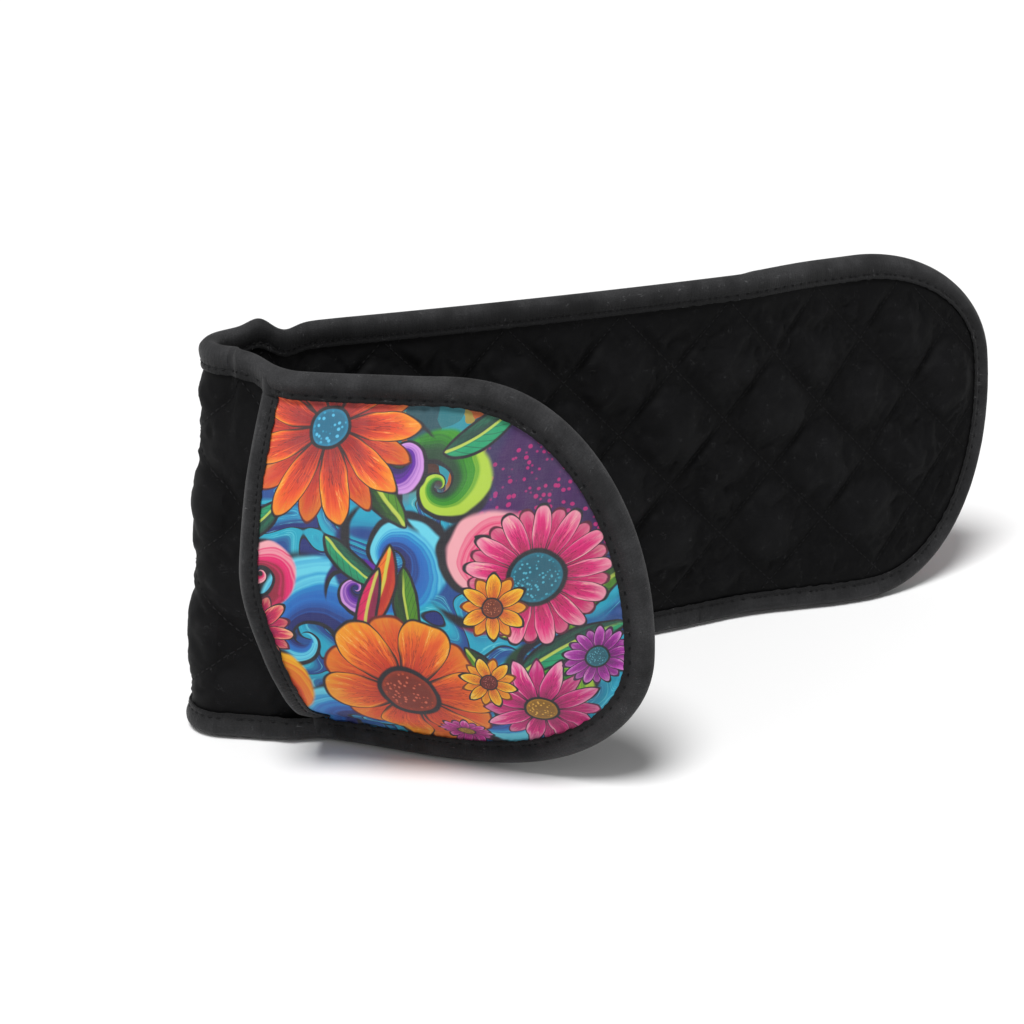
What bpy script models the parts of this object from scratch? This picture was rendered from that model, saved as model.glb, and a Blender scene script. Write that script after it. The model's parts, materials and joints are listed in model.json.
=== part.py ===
"""Double oven mitt: one long padded strip with a hand pocket sewn on each end.

The strip stands on its lower edge, bent into a narrow U that opens to the right. Its palm face
is on the inside of the U and its outer face, with the two pockets, on the outside. Every layer
is a solid of its own: cloth, wadding and cloth for the strip, lining, wadding and printed cloth
for each pocket, the folded binding round every edge, and the rows of stitching on the binding.
The strap folds on a vertical line beside each pocket, so each mitt is a moving body.

A place on the strip is given by three values: the distance along it from the near tip, the
height above its lower edge, and the distance out from its palm face.
"""

import math

import bmesh
import bpy
from mathutils import Vector

# Driving dimensions, in metres
STRIP_WIDTH = 0.180
POCKET_DEPTH = 0.166
MOUTH_TO_FOLD = 0.012
FOLD_TO_CORNER = 0.014
CORNER_RADIUS = 0.014
BACK_RUN = 0.255
END_LENGTH = 0.090
TIP_SHIFT = 0.029
CORNER_SHEAR = 0.016
CORNER_EASE = 0.060

# How the strip runs, in degrees from +X, and how far it leans outwards
NEAR_HEADING = -15.2
FAR_HEADING = 19.6
FAR_TIP_HEADING = 33.1
NEAR_LEAN = ((0.0, -3.8), (0.090, 3.8), (0.150, 6.2))
FAR_LEAN = ((0.0, 10.4), (0.090, 10.1))

# The layers
CLOTH = 0.0008
WADDING_FULL = 0.0045
WADDING_PINCHED = 0.0015
POCKET_WADDING_FULL = 0.0030
POCKET_WADDING_PINCHED = 0.0012
GAP = 0.0003
GAPE_AT_MOUTH = 0.036
GAPE_AT_END = 0.024

# The binding and its stitching
BINDING = 0.0010
BINDING_WIDTH = 0.012
MOUTH_BINDING_WIDTH = 0.009
PINCH_MARGIN = 0.002
STITCH_INSET = 0.0095
MOUTH_STITCH_INSET = 0.0065
THREAD = 0.0006
THREAD_HALF_WIDTH = 0.0005

# The folds, in degrees: outwards opens the mitt flat and past it, inwards closes it on the pot
NEAR_INWARD = 30.0
FAR_INWARD = 40.0
FOLD_MARGIN = 1.5
FOLD_GAP = 0.0008

# How finely the surfaces are cut
ARC_STEPS = 4
CORNER_STEPS = 8
BACK_STEPS = 5
DOME_ROWS = (0.30, 0.65, 1.0)

# Worked out from the values above
FOLD_FROM_TIP = POCKET_DEPTH + MOUTH_TO_FOLD
NEAR_RUN = FOLD_FROM_TIP + FOLD_TO_CORNER
FAR_RUN = FOLD_FROM_TIP + BACK_RUN
CORNER_TURN = math.radians(180 + NEAR_HEADING - FAR_HEADING)
CORNER_RUN = CORNER_RADIUS * CORNER_TURN
TOTAL = NEAR_RUN + CORNER_RUN + FAR_RUN
PINCH = BINDING_WIDTH + PINCH_MARGIN
EDGE_INSET = BINDING + 2 * GAP

# The strip's layers, out from the palm face: (start, pinched thickness, full thickness)
WADDING_START = CLOTH + GAP
POCKET_START = GAP
STRIP_PINCHED = WADDING_START + WADDING_PINCHED + GAP + CLOTH
STRIP_FULL = WADDING_START + WADDING_FULL + GAP + CLOTH
POCKET_PINCHED = CLOTH + GAP + POCKET_WADDING_PINCHED + GAP + CLOTH

MATERIALS = {
    "black_cloth": ((0.006, 0.006, 0.007, 1.0), 0.85),
    "wadding": ((0.62, 0.60, 0.55, 1.0), 0.95),
    "black_binding": ((0.022, 0.022, 0.024, 1.0), 0.80),
    "printed_cloth": ((0.75, 0.22, 0.10, 1.0), 0.75),
    "lining_cloth": ((0.012, 0.012, 0.013, 1.0), 0.88),
    "black_thread": ((0.008, 0.008, 0.009, 1.0), 0.70),
}


# ---- The run of the strip ----

def run_point(start, heading, bend, distance):
    """Where an arc gets to that starts with a heading and turns by bend for each metre."""
    half_turn = bend * distance / 2
    chord = distance * (math.sin(half_turn) / half_turn if abs(half_turn) > 1e-9 else 1.0)
    direction = heading + half_turn
    return start + chord * Vector((math.cos(direction), math.sin(direction)))


def strip_runs():
    """The strip's three stretches: (distance where it starts, start point, heading, bend)."""
    runs = []
    start = Vector((0.0, 0.0))
    heading = math.radians(180 + NEAR_HEADING)
    far_bend = math.radians(FAR_TIP_HEADING - FAR_HEADING) / FAR_RUN
    done = 0.0
    for length, bend in ((NEAR_RUN, 0.0), (CORNER_RUN, -1 / CORNER_RADIUS), (FAR_RUN, far_bend)):
        runs.append((done, start, heading, bend))
        start = run_point(start, heading, bend, length)
        heading += bend * length
        done += length
    return runs


RUNS = strip_runs()


def ease(value, stations):
    """A smooth step from each station's amount to the next; stations are (place, amount)."""
    result = stations[0][1]
    for (low, before), (high, after) in zip(stations, stations[1:]):
        if value >= low:
            part = min((value - low) / (high - low), 1.0)
            result = before + (after - before) * part * part * (3 - 2 * part)
    return result


def lean_at(along):
    """How far the strip leans outwards, in radians: upright between the two folds."""
    near = ease(along, NEAR_LEAN + ((FOLD_FROM_TIP, 0.0),))
    far = ease(TOTAL - along, FAR_LEAN + ((FOLD_FROM_TIP, 0.0),))
    return math.radians(near if along < FOLD_FROM_TIP else far)


def shear_at(along):
    """How far the corner's top stands over towards the open side, for each metre of height."""
    corner_end = NEAR_RUN + CORNER_RUN
    amount = CORNER_SHEAR / STRIP_WIDTH
    stations = (
        (FOLD_FROM_TIP, 0.0),
        (NEAR_RUN, amount),
        (corner_end, amount),
        (corner_end + CORNER_EASE, 0.0),
    )
    return ease(along, stations)


def strip_point(along, height, out):
    """The place of a point on the strip, before the model is centred on its origin."""
    begin, start, heading, bend = max((run for run in RUNS if run[0] <= max(along, 0)), key=lambda r: r[0])
    plan = run_point(start, heading, bend, along - begin)
    direction = heading + bend * (along - begin)
    outward = Vector((-math.sin(direction), math.cos(direction)))
    open_side = math.radians((NEAR_HEADING + FAR_HEADING) / 2)
    open_way = Vector((math.cos(open_side), math.sin(open_side)))
    lean = lean_at(along)
    over_middle = height - STRIP_WIDTH / 2
    plan = plan + outward * (out + over_middle * math.tan(lean)) + open_way * over_middle * shear_at(along)
    return Vector((plan.x, plan.y, height * math.cos(lean)))


# ---- Solids from rows of points ----

class Solid:
    """One sub-part before it becomes an object: its points and its faces."""

    def __init__(self, name, body, material):
        self.name = name
        self.body = body
        self.material = material
        self.points = []
        self.faces = []

    def add(self, point):
        self.points.append(point)
        return len(self.points) - 1

    def quad(self, a, b, c, d, split_ac):
        """Two triangles over a, b, c, d; a corner may be shared, which leaves one triangle."""
        triangles = ((a, b, c), (a, c, d)) if split_ac else ((a, b, d), (b, c, d))
        for triangle in triangles:
            if len(set(triangle)) == 3:
                self.faces.append(triangle)


def sweep(solid, profiles, splits, inward):
    """Joins equal closed profiles one after another and closes both ends.

    inward says of each side of the profile whether it runs the way the cloth's rows do, so that
    every piece over the same stretch of cloth is cut along the same diagonals.
    """
    rings = [[solid.add(point) for point in profile] for profile in profiles]
    count = len(rings[0])
    for ring, following, split in zip(rings, rings[1:], splits):
        for k in range(count):
            after = (k + 1) % count
            solid.quad(ring[k], following[k], following[after], ring[after], split == inward[k])
    solid.faces.append(tuple(reversed(rings[0])))
    solid.faces.append(tuple(rings[-1]))


def close_layer(solid, low, high, splits, rims):
    """Both faces of a layer given as columns of points, its long edges and its two ends."""
    rows = len(low[0])
    for grid in (low, high):
        for k, split in enumerate(splits):
            for row in range(rows - 1):
                a, b = grid[k][row], grid[k + 1][row]
                c, d = grid[k + 1][row + 1], grid[k][row + 1]
                solid.quad(a, b, c, d, split)
    for rim in rims:
        for k, split in enumerate(splits):
            solid.quad(low[k][rim], low[k + 1][rim], high[k + 1][rim], high[k][rim], split)
    for k in (0, -1):
        for row in range(rows - 1):
            solid.quad(low[k][row], low[k][row + 1], high[k][row + 1], high[k][row], True)


def runs_inward(section):
    """Which sides of a closed section run away from the edge of the cloth, by their first value."""
    return [b[0] >= a[0] for a, b in zip(section, section[1:] + section[:1])]


# ---- A mitt's own grid, from the fold round the tip and back to the fold ----

class Mitt:
    """One rounded end of the strip. Its columns run round the edge, its rows run inwards."""

    def __init__(self, body, inward):
        self.body = body
        self.inward = inward
        self.near = body == "near_mitt"
        self.tip_height = STRIP_WIDTH / 2 + (-TIP_SHIFT if self.near else TIP_SHIFT)

    def place(self, from_tip, height, out):
        along = from_tip if self.near else TOTAL - from_tip
        return strip_point(along, height, out)

    def columns(self, first):
        """Distances from the tip along the straight edges, from the first one to the end arc."""
        second = POCKET_DEPTH - MOUTH_BINDING_WIDTH
        inner = (second, (second + END_LENGTH) / 2, END_LENGTH)
        if first > POCKET_DEPTH:
            return (first, POCKET_DEPTH + MOUTH_TO_FOLD / 2, POCKET_DEPTH) + inner
        return (first,) + inner

    def edge_places(self, columns, inset):
        """(distance from tip, height) round the edge, at one inset from it."""
        top = STRIP_WIDTH - inset
        along = END_LENGTH - inset
        places = [(c, inset) for c in columns]
        turns = [math.pi / 2 * k / ARC_STEPS for k in range(1, ARC_STEPS + 1)]
        for turn in turns:
            drop = (self.tip_height - inset) * math.cos(turn)
            places.append((END_LENGTH - along * math.sin(turn), self.tip_height - drop))
        for turn in reversed(turns[:-1]):
            rise = (top - self.tip_height) * math.cos(turn)
            places.append((END_LENGTH - along * math.sin(turn), self.tip_height + rise))
        places += [(c, top) for c in reversed(columns)]
        return places

    def splits(self, count):
        """Which way each column's faces are cut, the same below and above the tip."""
        return [k < (count - 1) // 2 for k in range(count - 1)]

    def ridge(self, column, columns, count):
        """The middle of the mitt beside a column: all the columns of the end arc share one."""
        from_edge = min(column, count - 1 - column)
        return columns[min(from_edge, len(columns) - 1)]

    def layer(self, solid, first, inner, outer):
        """A layer between two heights out from the palm, each a function of row and ridge."""
        columns = self.columns(first)
        outer_edge = self.edge_places(columns, EDGE_INSET)
        pinched = self.edge_places(columns, PINCH)
        count = len(pinched)
        sides = []
        for surface in (inner, outer):
            shared = {}
            grid = []
            for k in range(count):
                middle = self.ridge(k, columns, count)
                line = [solid.add(self.place(*outer_edge[k], surface(0.0, middle)))]
                line.append(solid.add(self.place(*pinched[k], surface(0.0, middle))))
                for part in DOME_ROWS[:-1]:
                    from_tip = pinched[k][0] + (middle - pinched[k][0]) * part
                    height = pinched[k][1] + (self.tip_height - pinched[k][1]) * part
                    line.append(solid.add(self.place(from_tip, height, surface(part, middle))))
                if middle not in shared:
                    point = self.place(middle, self.tip_height, surface(1.0, middle))
                    shared[middle] = solid.add(point)
                line.append(shared[middle])
                grid.append(line)
            sides.append(grid)
        close_layer(solid, *sides, self.splits(count), (0,))

    def edge_sweep(self, solid, first, profile):
        """Carries a profile of (inset, out) points round the edge; profile takes the column."""
        columns = self.columns(first)
        count = len(self.edge_places(columns, 0.0))
        profiles = []
        for k in range(count):
            from_edge = min(k, count - 1 - k)
            column = columns[min(from_edge, len(columns) - 1)]
            points = []
            for inset, out in profile(column):
                from_tip, height = self.edge_places(columns, inset)[k]
                points.append(self.place(from_tip, height, out))
            profiles.append(points)
        sweep(solid, profiles, self.splits(count), runs_inward(profile(columns[0])))


def fold_distance(out, inward, from_tip_side):
    """Distance along the strip of a piece's end at a fold, left free for the fold to close."""
    slope = math.tan(math.radians(inward / 2 + FOLD_MARGIN))
    clear = FOLD_GAP / 2 + (STRIP_FULL - out) * slope
    return FOLD_FROM_TIP - clear if from_tip_side else FOLD_FROM_TIP + clear


# ---- Thicknesses ----

def grow(pinched, full, part):
    """A layer's thickness from its pinched edge, part 0, to its middle, part 1."""
    filled = min(part / DOME_ROWS[0], 1.0)
    return pinched + (full - pinched) * filled


def dome(part):
    """A rounded rise from 0 to 1, with straight stretches between the rows."""
    rise = 0.0
    rows = (0.0,) + DOME_ROWS
    for low, high in zip(rows, rows[1:]):
        if part > low:
            before, after = 1 - (1 - low) ** 2, 1 - (1 - high) ** 2
            rise = before + (after - before) * (min(part, high) - low) / (high - low)
    return rise


def gape(part, middle):
    """How far the pocket stands off the strip: a dome across, deepest at the mouth."""
    deep = (min(middle, POCKET_DEPTH) - END_LENGTH) / (POCKET_DEPTH - END_LENGTH)
    height = GAPE_AT_END + (GAPE_AT_MOUTH - GAPE_AT_END) * deep
    return height * dome(part)


def wadding_top(part):
    return WADDING_START + grow(WADDING_PINCHED, WADDING_FULL, part)


def pocket_base(part, middle):
    """The pocket lining's inner face."""
    return wadding_top(part) + GAP + CLOTH + POCKET_START + gape(part, middle)


def pocket_wadding_top(part, middle):
    thickness = grow(POCKET_WADDING_PINCHED, POCKET_WADDING_FULL, part)
    return pocket_base(part, middle) + CLOTH + GAP + thickness


def channel(low, high, width, thickness):
    """A folded binding's section as (inset, out) points, with the cloth between its two legs."""
    return (
        (0.0, low - thickness),
        (0.0, high + thickness),
        (width, high + thickness),
        (width, high),
        (thickness, high),
        (thickness, low),
        (width, low),
        (width, low - thickness),
    )


def ribbon(inset, out, way):
    """A flat thread's section, lying on a face at one height out; way is +1 outwards or -1."""
    low, high = inset - THREAD_HALF_WIDTH, inset + THREAD_HALF_WIDTH
    near_face, far_face = out + way * GAP, out + way * (GAP + THREAD)
    return ((low, near_face), (high, near_face), (high, far_face), (low, far_face))


# ---- The two mitts ----

def mitt_front(column):
    """Height out of the outermost cloth at a mitt's edge: the strip alone beside the fold."""
    if column > POCKET_DEPTH:
        return STRIP_PINCHED
    return STRIP_PINCHED + POCKET_START + POCKET_PINCHED


def strip_layers(mitt, prefix):
    """The three layers of the strip inside one mitt."""
    parts = []
    layers = (
        ("palm_cloth", "black_cloth", lambda p, m: 0.0, lambda p, m: CLOTH, 0.0),
        ("wadding", "wadding", lambda p, m: WADDING_START, lambda p, m: wadding_top(p), WADDING_START),
        (
            "back_cloth",
            "black_cloth",
            lambda p, m: wadding_top(p) + GAP,
            lambda p, m: wadding_top(p) + GAP + CLOTH,
            WADDING_START + WADDING_PINCHED,
        ),
    )
    for name, material, inner, outer, lowest in layers:
        solid = Solid(f"{prefix}_{name}", mitt.body, material)
        mitt.layer(solid, fold_distance(lowest, mitt.inward, True), inner, outer)
        parts.append(solid)
    return parts


def pocket_layers(mitt, prefix):
    """Lining, wadding and printed cloth of one pocket, open at the mouth."""
    parts = []
    layers = (
        ("pocket_lining", "lining_cloth", pocket_base, lambda p, m: pocket_base(p, m) + CLOTH),
        (
            "pocket_wadding",
            "wadding",
            lambda p, m: pocket_base(p, m) + CLOTH + GAP,
            pocket_wadding_top,
        ),
        (
            "pocket_print",
            "printed_cloth",
            lambda p, m: pocket_wadding_top(p, m) + GAP,
            lambda p, m: pocket_wadding_top(p, m) + GAP + CLOTH,
        ),
    )
    for name, material, inner, outer in layers:
        solid = Solid(f"{prefix}_{name}", mitt.body, material)
        mitt.layer(solid, POCKET_DEPTH, inner, outer)
        parts.append(solid)
    return parts


def edge_pieces(mitt, prefix):
    """The binding round one mitt and the row of stitching on each of its faces."""
    lowest = -GAP - BINDING

    def binding(column):
        return channel(-GAP, mitt_front(column) + GAP, BINDING_WIDTH, BINDING)

    def front_thread(column):
        return ribbon(STITCH_INSET, mitt_front(column) + GAP + BINDING, 1)

    def palm_thread(column):
        return ribbon(STITCH_INSET, lowest, -1)

    parts = []
    for name, material, profile, low in (
        ("edge_binding", "black_binding", binding, lowest),
        ("front_stitching", "black_thread", front_thread, lowest),
        ("palm_stitching", "black_thread", palm_thread, lowest - GAP - THREAD),
    ):
        solid = Solid(f"{prefix}_{name}", mitt.body, material)
        mitt.edge_sweep(solid, fold_distance(low, mitt.inward, True), profile)
        parts.append(solid)
    return parts


def mouth_rows(mitt, inner_end):
    """(height, part of the dome) up the mouth, between where the pocket leaves room for it."""
    low, high = PINCH, STRIP_WIDTH - PINCH
    first = DOME_ROWS[0] * (BINDING + 2 * GAP) / gape(DOME_ROWS[0], inner_end)
    lower = [(low + (mitt.tip_height - low) * part, part) for part in (first,) + DOME_ROWS]
    upper = [(high + (mitt.tip_height - high) * part, part) for part in (first,) + DOME_ROWS[:-1]]
    return lower + list(reversed(upper))


def mouth_pieces(mitt, prefix):
    """The binding folded over the pocket's mouth, and its stitching on the front."""
    reach = BINDING + GAP
    inner_end = POCKET_DEPTH - MOUTH_BINDING_WIDTH
    binding = Solid(f"{prefix}_mouth_binding", mitt.body, "black_binding")
    thread = Solid(f"{prefix}_mouth_stitching", mitt.body, "black_thread")
    binding_profiles = []
    thread_profiles = []
    rows = mouth_rows(mitt, inner_end)
    for height, part in rows:
        def faces(from_tip):
            """The clear heights under and over the pocket, beside its mouth."""
            middle = max(min(from_tip, POCKET_DEPTH), inner_end)
            low = pocket_base(part, middle) - GAP
            high = pocket_wadding_top(part, middle) + GAP + CLOTH + GAP
            return low, high

        # (distance from the tip, which face, how far off it) round the folded binding
        section = (
            (POCKET_DEPTH + reach, 0, -BINDING),
            (POCKET_DEPTH + reach, 1, BINDING),
            (POCKET_DEPTH, 1, BINDING),
            (inner_end, 1, BINDING),
            (inner_end, 1, 0.0),
            (POCKET_DEPTH, 1, 0.0),
            (POCKET_DEPTH + GAP, 1, 0.0),
            (POCKET_DEPTH + GAP, 0, 0.0),
            (POCKET_DEPTH, 0, 0.0),
            (inner_end, 0, 0.0),
            (inner_end, 0, -BINDING),
            (POCKET_DEPTH, 0, -BINDING),
        )
        place = [mitt.place(d, height, faces(d)[side] + off) for d, side, off in section]
        binding_profiles.append(place)
        middle = POCKET_DEPTH - MOUTH_STITCH_INSET
        start = faces(middle)[1] + BINDING + GAP
        thread_profiles.append([
            mitt.place(middle - THREAD_HALF_WIDTH, height, start),
            mitt.place(middle + THREAD_HALF_WIDTH, height, start),
            mitt.place(middle + THREAD_HALF_WIDTH, height, start + THREAD),
            mitt.place(middle - THREAD_HALF_WIDTH, height, start + THREAD),
        ])
    splits = [k < len(DOME_ROWS) for k in range(len(rows) - 1)]
    to_tip = [not away for away in runs_inward(section)]
    sweep(binding, binding_profiles, splits, to_tip)
    sweep(thread, thread_profiles, splits, [False, False, True, False])
    return [binding, thread]


# ---- The strap between the mitts ----

def band_columns(lowest):
    """Distances along the strap from one fold to the other, close together at the corner.

    Only the first and last depend on the layer, so that all the layers are cut alike between.
    """
    first = fold_distance(lowest, NEAR_INWARD, False)
    last = TOTAL - fold_distance(lowest, FAR_INWARD, False)
    corner_end = NEAR_RUN + CORNER_RUN
    begin = corner_end + CORNER_EASE
    end = TOTAL - FOLD_FROM_TIP - FOLD_TO_CORNER / 2
    columns = [first, NEAR_RUN - FOLD_TO_CORNER / 2]
    columns += [NEAR_RUN + CORNER_RUN * k / CORNER_STEPS for k in range(CORNER_STEPS + 1)]
    columns += [corner_end + CORNER_EASE / 2]
    columns += [begin + (end - begin) * k / BACK_STEPS for k in range(BACK_STEPS + 1)]
    return columns + [last]


def band_layer(name, material, lowest, inner, outer):
    """One layer of the strap: a wall between two heights out from the palm face."""
    solid = Solid(name, "band", material)
    middle = STRIP_WIDTH / 2
    heights = [EDGE_INSET, PINCH, PINCH + (middle - PINCH) * DOME_ROWS[0], middle]
    parts = [0.0, 0.0, DOME_ROWS[0], 1.0]
    heights += [STRIP_WIDTH - h for h in reversed(heights[:-1])]
    parts += list(reversed(parts[:-1]))
    low = []
    high = []
    for along in band_columns(lowest):
        low.append([solid.add(strip_point(along, h, inner(p))) for h, p in zip(heights, parts)])
        high.append([solid.add(strip_point(along, h, outer(p))) for h, p in zip(heights, parts)])
    close_layer(solid, low, high, [True] * (len(low) - 1), (0, -1))
    return solid


def band_edge(name, material, lowest, section, upper):
    """A piece carried along the strap's lower or upper edge."""
    solid = Solid(name, "band", material)
    profiles = []
    for along in band_columns(lowest):
        points = []
        for inset, out in section:
            height = STRIP_WIDTH - inset if upper else inset
            points.append(strip_point(along, height, out))
        profiles.append(points)
    sweep(solid, profiles, [not upper] * (len(profiles) - 1), runs_inward(section))
    return solid


def band_parts():
    """The strap's three layers, its two bindings and their four rows of stitching."""
    lowest = -GAP - BINDING
    front = STRIP_PINCHED + GAP + BINDING
    parts = [
        band_layer("band_palm_cloth", "black_cloth", 0.0, lambda p: 0.0, lambda p: CLOTH),
        band_layer("band_wadding", "wadding", WADDING_START, lambda p: WADDING_START, wadding_top),
        band_layer(
            "band_outer_cloth",
            "black_cloth",
            WADDING_START + WADDING_PINCHED,
            lambda p: wadding_top(p) + GAP,
            lambda p: wadding_top(p) + GAP + CLOTH,
        ),
    ]
    binding = channel(-GAP, STRIP_PINCHED + GAP, BINDING_WIDTH, BINDING)
    outer_row = ribbon(STITCH_INSET, front, 1)
    palm_row = ribbon(STITCH_INSET, lowest, -1)
    for edge, upper in (("lower", False), ("upper", True)):
        for kind, material, low, section in (
            ("binding", "black_binding", lowest, binding),
            ("outer_stitching", "black_thread", lowest, outer_row),
            ("palm_stitching", "black_thread", lowest - GAP - THREAD, palm_row),
        ):
            parts.append(band_edge(f"band_{edge}_{kind}", material, low, section, upper))
    return parts


# ---- The objects ----

def make_material(name):
    """A plain finish: colour and roughness, not metallic."""
    colour, roughness = MATERIALS[name]
    material = bpy.data.materials.new(name)
    material.use_nodes = True
    shader = material.node_tree.nodes["Principled BSDF"]
    shader.inputs["Base Color"].default_value = colour
    shader.inputs["Roughness"].default_value = roughness
    shader.inputs["Metallic"].default_value = 0.0
    material.diffuse_color = colour
    return material


def make_object(solid, pivot, parent, materials):
    """An object whose origin is on its body's joint, with its faces turned outwards."""
    mesh = bpy.data.meshes.new(solid.name)
    mesh.from_pydata([point - pivot for point in solid.points], [], solid.faces)
    mesh.materials.append(materials[solid.material])
    work = bmesh.new()
    work.from_mesh(mesh)
    bmesh.ops.recalc_face_normals(work, faces=work.faces)
    work.to_mesh(mesh)
    work.free()
    made = bpy.data.objects.new(solid.name, mesh)
    bpy.context.scene.collection.objects.link(made)
    made.parent = parent
    return made


def make_axis(name, place):
    """An empty that stands on a body's joint axis."""
    axis = bpy.data.objects.new(name, None)
    axis.empty_display_size = 0.02
    axis.location = place
    bpy.context.scene.collection.objects.link(axis)
    return axis


def build():
    for old in list(bpy.data.objects):
        bpy.data.objects.remove(old)
    solids = band_parts()
    for prefix, inward in (("near", NEAR_INWARD), ("far", FAR_INWARD)):
        mitt = Mitt(f"{prefix}_mitt", inward)
        solids += strip_layers(mitt, prefix)
        solids += pocket_layers(mitt, prefix)
        solids += edge_pieces(mitt, prefix)
        solids += mouth_pieces(mitt, prefix)

    # The origin is under the middle of the whole model, on the surface it stands on
    every_point = [point for solid in solids for point in solid.points]
    low = Vector([min(point[k] for point in every_point) for k in range(3)])
    high = Vector([max(point[k] for point in every_point) for k in range(3)])
    centre = Vector(((low.x + high.x) / 2, (low.y + high.y) / 2, low.z))
    for solid in solids:
        solid.points = [point - centre for point in solid.points]

    pivots = {
        "band": Vector((0.0, 0.0, 0.0)),
        "near_mitt": strip_point(FOLD_FROM_TIP, 0.0, STRIP_FULL) - centre,
        "far_mitt": strip_point(TOTAL - FOLD_FROM_TIP, 0.0, STRIP_FULL) - centre,
    }
    axes = {body: make_axis(f"{body}_axis", place) for body, place in pivots.items()}
    materials = {name: make_material(name) for name in MATERIALS}
    for solid in solids:
        make_object(solid, pivots[solid.body], axes[solid.body], materials)
    for body, place in pivots.items():
        print(body, "joint at", [round(value, 5) for value in place])
    print("size", [round(value, 4) for value in high - low])


build()
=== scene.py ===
# %% [markdown]
# # A double oven mitt in printed and quilted cloth
# A double oven mitt is one long padded strip with a hand pocket sewn on each end. The strip is two
# layers of black cotton with wadding between them, quilted in diamonds. A printed cotton covers each
# pocket, and one cotton tape is folded over every raw edge and stitched down.
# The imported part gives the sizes, the bodies and the joints. This script makes the cloth that is
# seen: each piece is worked out flat, the way it is cut and sewn on a table, and then bent into place.

import json
import math

import bpy
import numpy as np
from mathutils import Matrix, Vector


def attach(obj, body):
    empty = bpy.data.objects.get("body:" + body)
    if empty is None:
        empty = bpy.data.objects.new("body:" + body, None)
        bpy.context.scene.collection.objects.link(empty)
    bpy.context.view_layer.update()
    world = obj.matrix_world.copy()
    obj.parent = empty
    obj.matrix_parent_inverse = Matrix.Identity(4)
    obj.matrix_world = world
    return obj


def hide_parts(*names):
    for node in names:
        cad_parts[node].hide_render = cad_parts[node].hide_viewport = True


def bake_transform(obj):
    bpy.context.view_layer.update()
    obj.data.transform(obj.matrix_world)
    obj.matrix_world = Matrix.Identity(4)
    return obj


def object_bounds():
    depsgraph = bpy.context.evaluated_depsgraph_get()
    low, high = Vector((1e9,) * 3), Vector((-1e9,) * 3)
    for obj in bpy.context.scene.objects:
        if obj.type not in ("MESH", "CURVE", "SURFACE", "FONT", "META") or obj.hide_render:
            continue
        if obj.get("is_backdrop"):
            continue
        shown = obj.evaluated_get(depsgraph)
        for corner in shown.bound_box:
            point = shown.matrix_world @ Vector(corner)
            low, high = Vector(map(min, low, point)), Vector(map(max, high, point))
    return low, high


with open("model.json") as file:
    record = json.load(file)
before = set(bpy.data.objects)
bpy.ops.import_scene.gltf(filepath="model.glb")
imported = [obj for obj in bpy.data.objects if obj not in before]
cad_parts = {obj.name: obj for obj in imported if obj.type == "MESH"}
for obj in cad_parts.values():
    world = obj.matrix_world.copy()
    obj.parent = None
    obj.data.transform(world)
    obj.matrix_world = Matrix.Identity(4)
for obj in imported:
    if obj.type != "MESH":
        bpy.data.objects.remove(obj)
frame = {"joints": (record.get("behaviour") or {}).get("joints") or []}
cad_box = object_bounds()
joints = {joint["name"]: joint for joint in frame["joints"]}
print("the part is", [round(b - a, 4) for a, b in zip(*cad_box)], "m")

# %% [markdown]
# ## The sizes that the cloth follows
# The cloth has to lie where the part's solids are, so the sizes of the strip are the part's own.
# They are in metres and degrees. A place on the strip is given by three values: the distance along
# it from the near tip, the height above its lower edge, and the distance out from its palm face.

# %% Sizes of the strip
STRIP_WIDTH = 0.180
POCKET_DEPTH = 0.166
MOUTH_TO_FOLD = 0.012
FOLD_TO_CORNER = 0.014
CORNER_RADIUS = 0.014
BACK_RUN = 0.255
END_LENGTH = 0.090
TIP_SHIFT = 0.029
CORNER_SHEAR = 0.016
CORNER_EASE = 0.060
NEAR_HEADING = -15.2
FAR_HEADING = 19.6
FAR_TIP_HEADING = 33.1
NEAR_LEAN = ((0.0, -3.8), (0.090, 3.8), (0.150, 6.2))
FAR_LEAN = ((0.0, 10.4), (0.090, 10.1))

CLOTH = 0.0008
GAP = 0.0003
BINDING = 0.0010
BINDING_WIDTH = 0.012
MOUTH_BINDING_WIDTH = 0.009
PINCH = BINDING_WIDTH + 0.002
STITCH_INSET = 0.0095
MOUTH_STITCH_INSET = 0.0065
STRIP_PINCHED = 0.0037
STRIP_FULL = 0.0067
POCKET_PINCHED = 0.0034
POCKET_FULL = 0.0052
GAPE_AT_MOUTH = 0.036
GAPE_AT_END = 0.024

FOLD_FROM_TIP = POCKET_DEPTH + MOUTH_TO_FOLD
CUT_FROM_TIP = FOLD_FROM_TIP + FOLD_TO_CORNER
FAR_RUN = FOLD_FROM_TIP + BACK_RUN
CORNER_RUN = CORNER_RADIUS * math.radians(180 + NEAR_HEADING - FAR_HEADING)
TOTAL = CUT_FROM_TIP + CORNER_RUN + FAR_RUN
print("the strip is", round(TOTAL, 4), "m long")

# %% [markdown]
# ## From the sewing table to the bent strip
# Seen from above, the strip is a straight stretch, a tight corner and a long gentle curve. Each is
# an arc, so a point on it comes from a formula and needs no curve object. One function then takes
# any flat place to its place in the room, and every piece below is passed through it, so that
# layers sewn together stay together.

# %% Where a flat place goes


def ease(value, stations):
    """A smooth step from each station's amount to the next. With t the share of the way between
    two stations, the amount moves by t squared times (3 - 2t)."""
    result = np.full_like(value, stations[0][1], dtype=float)
    for (low, before), (high, after) in zip(stations, stations[1:]):
        share = np.clip((value - low) / (high - low), 0, 1)
        step = before + (after - before) * share * share * (3 - 2 * share)
        result = np.where(value >= low, step, result)
    return result


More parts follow.
